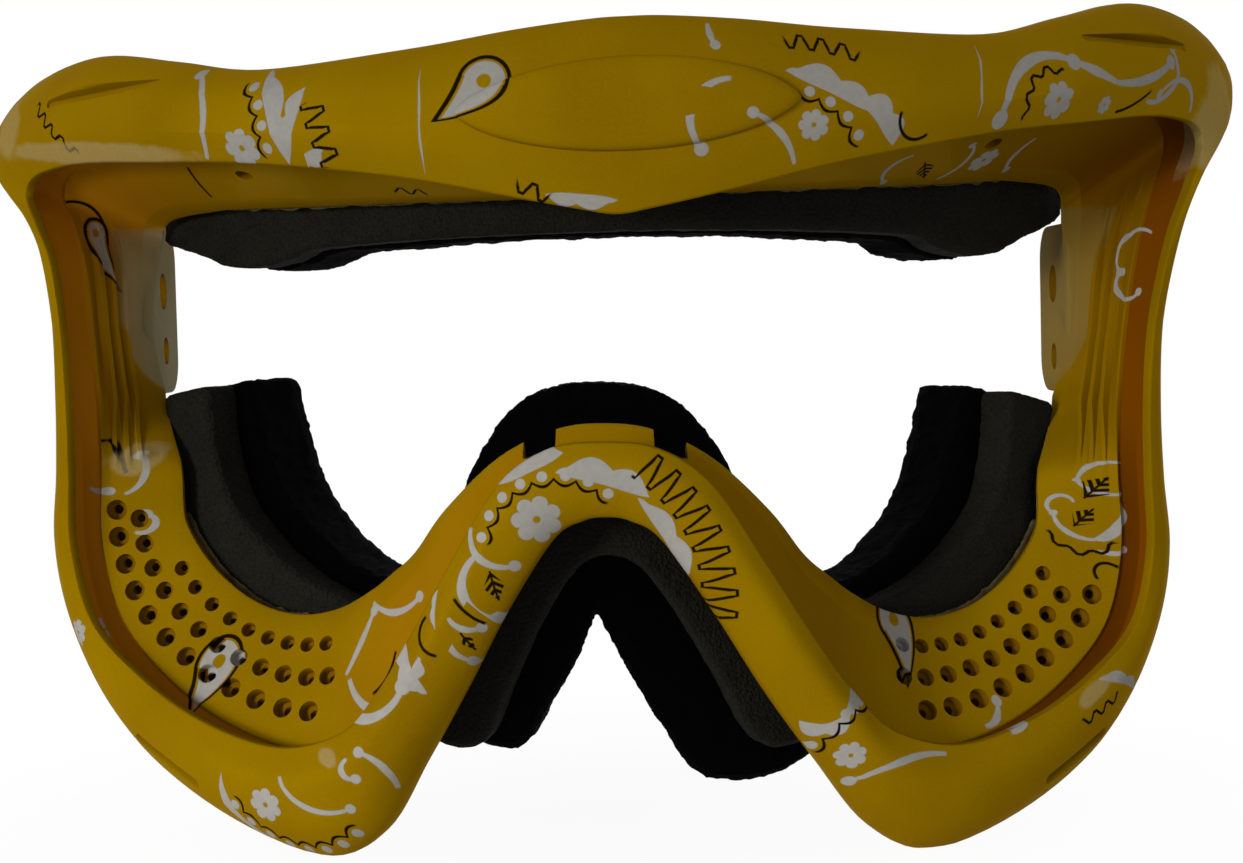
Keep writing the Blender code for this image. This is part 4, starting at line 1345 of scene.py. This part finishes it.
CHEEK_PRINT: tuple[Figure, ...] = (
    Figure(DROP, ((-63.4, -46.0), (-61.4, -52.0)), 3.6, Side.LEDGE),
    Figure(SCUFF, ((-82.4, -18.0),), 2.8, Side.LEDGE),
    Figure(CURL, ((-86.9, -22.0), (-85.9, -22.5), (-84.4, -22.5)), 0.4, Side.LEDGE),
    Figure(CURL, ((-82.4, -17.5), (-81.4, -21.5), (-82.9, -23.0)), 0.4, Side.LEDGE),
    Figure(CURL, ((-81.9, -28.5), (-79.9, -27.5), (-80.9, -26.0)), 0.45, Side.LEDGE),
    Figure(LINE, ((-85.4, -15.0), (-83.9, -17.5), (-82.9, -20.0)), 0.17, Side.LEDGE),
    Figure(FLOWER, ((-82.4, -42.0),), 1.9),
    Figure(FLOWER, ((-47.9, -63.0),), 2.4),
    Figure(BEADS, ((-53.7, -62.5), (-47.4, -69.0), (-35.4, -66.0))),
    Figure(FLAME, ((-54.4, -59.0), (-53.7, -65.5), (-44.9, -70.3)), 0.8),
    Figure(CURL, ((-45.4, -59.0), (-42.9, -62.3), (-35.9, -63.0)), 0.45),
    Figure(CURL, ((-35.7, -56.2), (-36.4, -57.8), (-34.6, -58.8)), 0.45),
    Figure(CURL, ((-34.0, -55.2), (-31.2, -57.2), (-30.2, -60.5)), 0.5),
    Figure(CURL, ((-37.9, -38.5), (-39.6, -43.0), (-41.2, -47.0)), 0.5, Side.LEDGE),
    Figure(CURL, ((-40.4, -47.5), (-35.4, -51.0), (-27.9, -46.5)), 0.7, Side.ANY),
    Figure(FLAME, ((-27.9, -47.0), (-26.4, -45.0), (-25.6, -42.5)), 0.8),
    Figure(CURL, ((-38.4, -37.5), (-34.4, -38.5), (-28.9, -36.0)), 0.5, Side.LEDGE),
    Figure(LINE, ((-32.4, -43.3), (-33.1, -46.0), (-35.7, -49.0)), 0.17, Side.LEDGE),
    Figure(SCUFF, ((-40.4, -55.5), (-36.9, -57.0)), 1.3),
    Figure(FLAME, ((22.4, -52.5), (24.6, -53.5), (28.1, -51.0)), 1.0),
    Figure(FLAME, ((27.6, -51.4), (29.2, -49.7), (29.6, -47.5)), 1.0),
    Figure(BEADS, ((31.1, -50.0), (26.6, -52.4), (24.1, -57.0))),
    Figure(FLOWER, ((28.6, -57.2),), 1.9),
    Figure(CURL, ((29.1, -61.0), (33.6, -58.8), (42.1, -58.2)), 0.5),
    Figure(DROP, ((43.1, -42.0), (46.6, -48.5)), 3.4, Side.LEDGE),
    Figure(SPRIG, ((78.1, -27.0), (80.6, -24.0)), 1.6, Side.LEDGE),
    Figure(SPRIG, ((77.1, -31.0), (79.1, -28.5)), 1.4, Side.LEDGE),
    Figure(CURL, ((82.1, -22.0), (79.1, -22.5), (77.6, -24.5)), 0.3, Side.LEDGE),
    Figure(CURL, ((77.6, -24.5), (79.1, -26.0), (81.6, -26.5)), 0.3, Side.LEDGE),
    Figure(CURL, ((77.1, -27.5), (75.6, -26.5), (75.1, -29.0)), 0.3, Side.LEDGE),
    Figure(CURL, ((75.1, -29.0), (76.6, -32.0), (79.6, -33.0)), 0.35, Side.LEDGE),
    Figure(FLAME, ((78.6, -33.0), (81.1, -31.5), (81.6, -27.5)), 0.7, Side.LEDGE),
    Figure(ZIGZAG, ((74.1, -31.5), (75.6, -34.0), (81.1, -33.5)), 0.3, Side.LEDGE),
    Figure(CURL, ((79.1, -34.5), (80.6, -35.0), (82.1, -34.5)), 0.35, Side.LEDGE),
    Figure(LINE, ((80.6, -37.0), (78.1, -37.0), (78.1, -38.5)), 0.17, Side.LEDGE),
    Figure(CURL, ((55.8, -53.5), (54.6, -55.8), (52.6, -56.5)), 0.5, Side.ANY),
    Figure(FLAME, ((68.1, -51.0), (72.6, -51.5), (77.1, -53.5)), 0.8),
    Figure(ZIGZAG, ((64.1, -56.5), (67.6, -55.2), (71.6, -53.5)), 0.5),
    Figure(SCUFF, ((63.6, -54.5), (70.6, -50.5)), 1.4),
    Figure(DROP, ((-8.5, 15.0), (-7.0, 7.0)), 2.4, Side.LEFT_TEMPLE),
    Figure(LINE, ((-4.0, 19.5), (-9.0, 18.0), (-10.5, 13.0)), 0.17, Side.LEFT_TEMPLE),
    Figure(CURL, ((-2.5, 11.0), (-7.5, 10.0), (-7.0, 5.5)), 0.4, Side.RIGHT_TEMPLE),
    Figure(CURL, ((-7.0, 5.5), (-5.5, 1.5), (-3.0, 2.5)), 0.4, Side.RIGHT_TEMPLE),
)


# The pads


@dataclass(frozen=True)
class PadSizes:
    """The layers of the pads and the glue that holds them."""

    clearance: float = 0.3
    glue_thickness: float = 0.5
    glue_overlap: float = 0.4
    glue_width: float = 2.4
    foam_thickness: float = 6.0
    fleece_thickness: float = 12.0
    foam_edge: float = 1.0
    fleece_edge: float = 3.0
    fleece_crown: float = 1.5
    steps: int = 10
    bead_steps: int = 14
    end_steps: tuple[tuple[float, float], ...] = ((0.96, 0.5), (0.86, 0.9), (0.5, 1.1))


PAD = PadSizes()


def pad_front(section: RimSection) -> float:
    """The height of a pad's front behind a section's ledge."""
    return section.tip()[1] - 2 * PAD.clearance - PAD.glue_thickness


def strip_ring(
    outer: np.ndarray, inner: np.ndarray, front: float, back: float, edge: float, crown: float = 0.0
) -> list[Vector]:
    """A soft-cornered section of a strip.

    Args:
        outer: the outer edge (s, z).
        inner: the inner edge (s, z).
        front: the front's height n.
        back: the back's height n.
        edge: how far the corners are rounded.
        crown: how far the back swells.

    Returns:
        The section's points in metres.
    """
    across = inner - outer
    width = max(float(np.linalg.norm(across)), 3 * edge)
    share = edge / width
    soft = min(0.8, edge) / width
    flat = 1 - 2 * share
    places = [
        (soft, front),
        *[(soft + (1 - 2 * soft) * k / 6, front) for k in range(1, 6)],
        (1 - soft, front),
        (1.0, front - min(0.8, edge)),
        *[(1.0, front + (back + edge - front) * k / 4) for k in range(1, 4)],
        (1.0, back + edge),
        (1 - 0.3 * share, back + 0.3 * edge),
        (1 - share, back + 0.1 * crown),
        *[(1 - share - flat * k / 6, back - crown * math.sin(math.pi * k / 6)) for k in range(1, 6)],
        (share, back + 0.1 * crown),
        (0.3 * share, back + 0.3 * edge),
        (0.0, back + edge),
        *[(0.0, back + edge + (front - back - edge) * k / 4) for k in range(1, 4)],
        (0.0, front - min(0.8, edge)),
    ]
    return [bent((outer + across * along, n)) for along, n in places]


def soft_strip(
    name: str, rings: list[list[Vector]], finish: bpy.types.Material, rough: float, grain: float
) -> bpy.types.Object:
    """Lofts a pad through its rings, with soft ends and an uneven surface.

    Args:
        name: the piece's name.
        rings: the sections' points.
        finish: the material.
        rough: how far the surface wanders, in millimetres.
        grain: the size of its unevenness, in millimetres.

    Returns:
        The pad's object.
    """
    ends = []
    for last, before in ((rings[0], rings[1]), (rings[-1], rings[-2])):
        middle = sum(last, Vector()) / len(last)
        way = (middle - sum(before, Vector()) / len(before)).normalized()
        caps = []
        for draw, reach in PAD.end_steps:
            caps.append([middle + (point - middle) * draw + way * reach * MM for point in last])
        ends.append(caps)
    bm = bmesh.new()
    loft(bm, [*reversed(ends[0]), *rings, *ends[1]], closed=False)
    bmesh.ops.recalc_face_normals(bm, faces=bm.faces)
    bmesh.ops.subdivide_edges(bm, edges=bm.edges[:], cuts=1, use_grid_fill=True)
    bm.normal_update()
    moves = []
    for vert in bm.verts:
        spot = vert.co / (grain * MM)
        wander = noise.noise(spot) * 0.6 + noise.noise(spot * 2.7) * 0.4 + 0.35 * noise.noise(spot * 0.23)
        moves.append(vert.normal * wander * rough * MM)
    for vert, move in zip(bm.verts, moves):
        vert.co += move
    obj = to_object(to_mesh(bm, name), name, math.radians(75))
    obj.data.materials.append(finish)
    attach(obj, BODY)
    return obj


def pad_places(rows: np.ndarray) -> list[float]:
    """Evenly counted places along a list of rows."""
    return [k / PAD.steps for k in range((len(rows) - 1) * PAD.steps + 1)]


def glue_bead(section: RimSection, phase: float, hidden: float = 0.0) -> list[Vector]:
    """A ragged bead of glue behind a ledge's free edge.

    Args:
        section: the frame's section there.
        phase: a number that sets its unevenness.
        hidden: how far it lies in under the ledge.

    Returns:
        The bead's section.
    """
    flat, n = section.tip()
    flat = flat + section.out * hidden
    spot = section.place * 3.1 + phase
    swell = 0.55 + 0.25 * noise.noise(Vector((spot, 0.3, phase)))
    swell += 0.2 * noise.noise(Vector((spot * 4.0, 1.7, phase)))
    middle = flat - section.out * (PAD.glue_width / 2 - PAD.glue_overlap - 0.2)
    half = PAD.glue_width / 2 + 0.5 * noise.noise(Vector((spot * 2.2, 5.1, phase)))
    ring = []
    for turn in turns(12):
        away = section.out * half * math.cos(turn)
        ring.append(bent((middle + away, n - 0.55 + min(0.34, swell * 0.6) * math.sin(turn))))
    return ring


@dataclass
class BrowPad:
    """The strip under the brow bar: glue, foam and fleece."""

    rows: tuple[tuple[float, float, float, float], ...] = (
        (0.0, 12.6, 12.2, 20.6),
        (24.0, 12.4, 12.0, 20.6),
        (42.0, 12.0, 11.4, 20.6),
        (56.0, 11.4, 11.0, 20.6),
        (62.0, 9.8, 9.4, 20.8),
        (70.0, 8.8, 8.6, 20.9),
        (77.0, 9.2, 9.0, 21.0),
        (83.0, 10.8, 10.6, 21.0),
        (90.0, 12.2, 12.0, 21.0),
        (95.8, 13.4, 13.4, 20.6),
    )
    shift: float = 0.4

    def build(self, glue: bpy.types.Material, foam: bpy.types.Material, fleece: bpy.types.Material) -> None:
        """Makes the pad's three layers."""
        front = min(pad_front(RimSection(place)) for place in range(NAMES.index("horn_top") + 1))
        middle = front - PAD.foam_thickness
        back = middle - PAD.clearance - PAD.fleece_thickness
        rows = mirrored(self.rows, np.array([-1, 1, 1, 1]))
        foam_rings, fleece_rings = [], []
        for place in pad_places(rows):
            s, foam_low, fleece_low, upper = curve_at(rows, place)
            s += self.shift
            high = np.array([s, upper])
            foam_rings.append(strip_ring(high, np.array([s, foam_low]), front, middle, PAD.foam_edge))
            low = np.array([s, fleece_low])
            top = middle - PAD.clearance
            fleece_rings.append(strip_ring(high, low, top, back, PAD.fleece_edge, PAD.fleece_crown))
        dress_foam(soft_strip("brow_foam_strip", foam_rings, foam, 0.22, 2.2), "brow_foam")
        dress_fleece(soft_strip("brow_fleece_strip", fleece_rings, fleece, 0.45, 1.6), "brow_fleece")
        last = NAMES.index("brow_rise")
        count = last * PAD.bead_steps
        places = [k / PAD.bead_steps for k in range(-count, count + 1)]
        rings = [glue_bead(RimSection(place), math.copysign(7, place)) for place in places]
        dress_glue(soft_strip("brow_glue_bead", rings, glue, 0.1, 0.8), "brow_glue")


@dataclass
class CheekPad:
    """The strip along both cheeks and over the nose: glue, foam and fleece."""

    rows: tuple[tuple[str, Spot, Spot, Spot, Spot], ...] = (
        ("cheek_top", (84.6, -12.4), (72.6, -10.4), (84.2, -12.0), (70.2, -9.6)),
        ("cheek_top", (82.4, -19.6), (71.6, -17.8), (82.4, -19.4), (67.2, -16.8)),
        ("cheek_side", (79.0, -29.8), (68.0, -25.4), (79.0, -29.8), (62.0, -25.0)),
        ("cheek_corner", (72.6, -37.0), (61.8, -31.0), (72.6, -37.0), (54.4, -31.0)),
        ("cheek_turn", (63.2, -42.4), (54.0, -35.6), (63.2, -42.4), (46.6, -35.0)),
        ("cheek_low", (53.4, -44.0), (46.0, -38.6), (53.4, -44.2), (39.2, -37.0)),
        ("cheek_bottom", (43.0, -46.4), (38.4, -40.4), (43.4, -47.0), (33.4, -37.6)),
        ("nose_foot", (32.5, -56.4), (32.0, -41.0), (32.6, -58.6), (28.8, -36.0)),
        ("nose_heel", (22.3, -57.8), (27.0, -37.0), (16.6, -61.4), (26.4, -29.4)),
        ("nose_leg_low", (15.8, -48.4), (21.4, -28.6), (9.6, -54.4), (21.8, -20.4)),
        ("nose_leg", (9.8, -39.2), (14.2, -20.8), (4.7, -47.8), (15.2, -12.6)),
        ("nose_shoulder", (4.1, -32.4), (7.0, -16.8), (1.7, -42.4), (7.9, -9.0)),
        ("nose_apex", (0.0, -31.0), (0.0, -15.6), (0.0, -39.6), (0.0, -8.2)),
    )
    slump: float = 0.12
    glue_hidden: Spot = (1.1, 3.6)
    drift: Spot = (2.4, 1.08)

    def build(self, glue: bpy.types.Material, foam: bpy.types.Material, fleece: bpy.types.Material) -> None:
        """Makes the pad's three layers."""
        values = [
            [*row[1], *row[2], *row[3], *row[4], pad_front(RimSection(station(row[0])))] for row in self.rows
        ]
        rows = mirrored(values[::-1], np.array([-1, 1, -1, 1, -1, 1, -1, 1, 1]))
        foam_rings, fleece_rings = [], []
        for place in pad_places(rows):
            row = curve_at(rows, place)
            row[5] -= self.slump * row[4] * min(max((-38.0 - row[5]) / 15.0, 0.0), 1.0)
            row[[4, 6]] -= np.array(self.drift) * min(max((45.0 - abs(row[4])) / 15.0, 0.0), 1.0)
            front = float(row[8])
            middle = front - PAD.foam_thickness
            back = middle - PAD.clearance - PAD.fleece_thickness
            foam_rings.append(strip_ring(row[0:2], row[2:4], front, middle, PAD.foam_edge))
            top = middle - PAD.clearance
            fleece_rings.append(strip_ring(row[4:6], row[6:8], top, back, PAD.fleece_edge, PAD.fleece_crown))
        dress_foam(soft_strip("cheek_foam_strip", foam_rings, foam, 0.22, 2.2), "cheek_foam")
        dress_fleece(soft_strip("cheek_fleece_strip", fleece_rings, fleece, 0.45, 1.6), "cheek_fleece")
        first, last = NAMES.index("cheek_side"), LAST_STATION
        places = [first + k / PAD.bead_steps for k in range((last - first) * PAD.bead_steps + 1)]
        places = places[:-1] + [-p for p in reversed(places)]
        rings = []
        for p in places:
            hidden = float(np.interp(abs(p), (station("nose_leg"), station("nose_crown")), self.glue_hidden))
            rings.append(glue_bead(RimSection(p), math.copysign(3, p), hidden))
        dress_glue(soft_strip("cheek_glue_bead", rings, glue, 0.1, 0.8), "cheek_glue")


def dress_foam(obj: bpy.types.Object, node: str) -> None:
    """Hides the CAD part that a foam strip replaces."""
    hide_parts(node)


def dress_fleece(obj: bpy.types.Object, node: str) -> None:
    """Hides the CAD part that a fleece strip replaces."""
    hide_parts(node)


def dress_glue(obj: bpy.types.Object, node: str) -> None:
    """Hides the CAD part that a glue bead replaces."""
    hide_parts(node)


# The studio


@dataclass(frozen=True)
class Studio:
    """Camera, lamps, floor and world."""

    width_px: int = 1243
    focal_px: float = 2306.0
    distance: float = 298.05
    aside: float = -2.12
    pitch: float = -2.72
    yaw: float = -0.483
    roll: float = -1.42
    sensor: float = 36.0
    shadow_depth: float = 0.07
    shadow_fade: float = 0.55
    world_light: float = 0.27

    def camera(self) -> None:
        """Puts the camera in front of the goggles at eye height."""
        data = bpy.data.cameras.new("camera")
        data.sensor_width = self.sensor
        data.lens = self.focal_px * self.sensor / self.width_px
        data.clip_start = 0.01
        obj = bpy.data.objects.new("camera", data)
        bpy.context.scene.collection.objects.link(obj)
        place = Vector((self.aside, -self.distance - BEND.front_to_origin, BEND.eye_line_height)) * MM
        turn = Matrix.Rotation(math.radians(self.yaw), 4, "Z")
        tilt = Matrix.Rotation(math.radians(90 + self.pitch), 4, "X")
        lean = Matrix.Rotation(math.radians(self.roll), 4, "Z")
        obj.matrix_world = Matrix.Translation(place) @ turn @ tilt @ lean
        bpy.context.scene.camera = obj

    def lamp(
        self,
        name: str,
        place: tuple[float, float, float],
        size: float,
        power: float,
        aim: float = 0.06,
        spread: float = 180.0,
    ) -> None:
        """Adds a square soft lamp that faces the goggles.

        Args:
            name: the lamp's name.
            place: where it hangs, in metres.
            size: its side, in metres.
            power: its power, in watts.
            aim: the height it faces, in metres.
            spread: the angle of its beam, in degrees.
        """
        data = bpy.data.lights.new(name, "AREA")
        data.shape = "SQUARE"
        data.size = size
        data.energy = power
        data.spread = math.radians(spread)
        obj = bpy.data.objects.new(name, data)
        obj.location = place
        way = Vector((0.0, 0.0, aim)) - Vector(place)
        obj.rotation_euler = way.to_track_quat("-Z", "Y").to_euler()
        obj.visible_glossy = False
        bpy.context.scene.collection.objects.link(obj)

    def floor(self) -> None:
        """A pale floor that shows white but keeps a faint shadow."""
        bm = bmesh.new()
        bmesh.ops.create_grid(bm, x_segments=1, y_segments=1, size=6.0)
        obj = to_object(to_mesh(bm, "floor"), "floor")
        shader = Shader.material("floor_white")
        shader.finish(Base_Color=(0.95, 0.95, 0.95, 1.0), Roughness=1.0, Specular_IOR_Level=0.0)
        glow = shader.add("ShaderNodeEmission", None, {"Color": (1.0, 1.0, 1.0, 1.0), "Strength": 1.0})
        x, y, _ = shader.split(shader.place())
        away = shader.math("SQRT", x * x + y * y)
        plain = shader.ramp(away, self.shadow_fade, 1 - self.shadow_depth)
        mixed = shader.add("ShaderNodeMixShader", None, {0: shader.seen() * plain})
        shader.tree.links.new(shader.surface.outputs[0], mixed.inputs[1])
        shader.tree.links.new(glow.outputs[0], mixed.inputs[2])
        shader.tree.links.new(mixed.outputs[0], shader.tree.nodes["Material Output"].inputs[0])
        obj.data.materials.append(shader.owner)

    def world(self) -> None:
        """White where it is seen, softer where it lights."""
        world = bpy.data.worlds.new("studio")
        shader = Shader(world, "Background")
        strength = shader.seen() * (1 - self.world_light) + self.world_light
        shader.finish(Color=(1.0, 1.0, 1.0, 1.0), Strength=strength)
        bpy.context.scene.world = world

    def build(self) -> None:
        """Sets up the whole studio."""
        bpy.context.scene.view_settings.view_transform = "Standard"
        self.camera()
        self.lamp("key_with_grid", (-0.77, -0.83, 0.12), 0.3, 0.27, aim=-0.03, spread=22.0)
        self.lamp("right_fill", (0.68, -0.82, 0.1), 0.5, 0.9)
        self.floor()
        self.world()


def main() -> None:
    """Builds the dressed goggles and the studio."""
    logging.basicConfig(level=logging.INFO, format="%(message)s")
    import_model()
    lacquer = LacquerFinish()
    frame = GoggleFrame().build(lacquer.make(), NOSE_PRINT + BAR_PRINT + CHEEK_PRINT, lacquer.layers)
    LOG.info("%s: %d faces", frame.name, len(frame.data.polygons))
    glue, foam, fleece = GlueFinish().make(), FoamFinish().make(), FleeceFinish().make()
    for pad in (BrowPad(), CheekPad()):
        pad.build(glue, foam, fleece)
        LOG.info("%s built", type(pad).__name__)
    Studio().build()


if __name__ == "__main__":
    main()
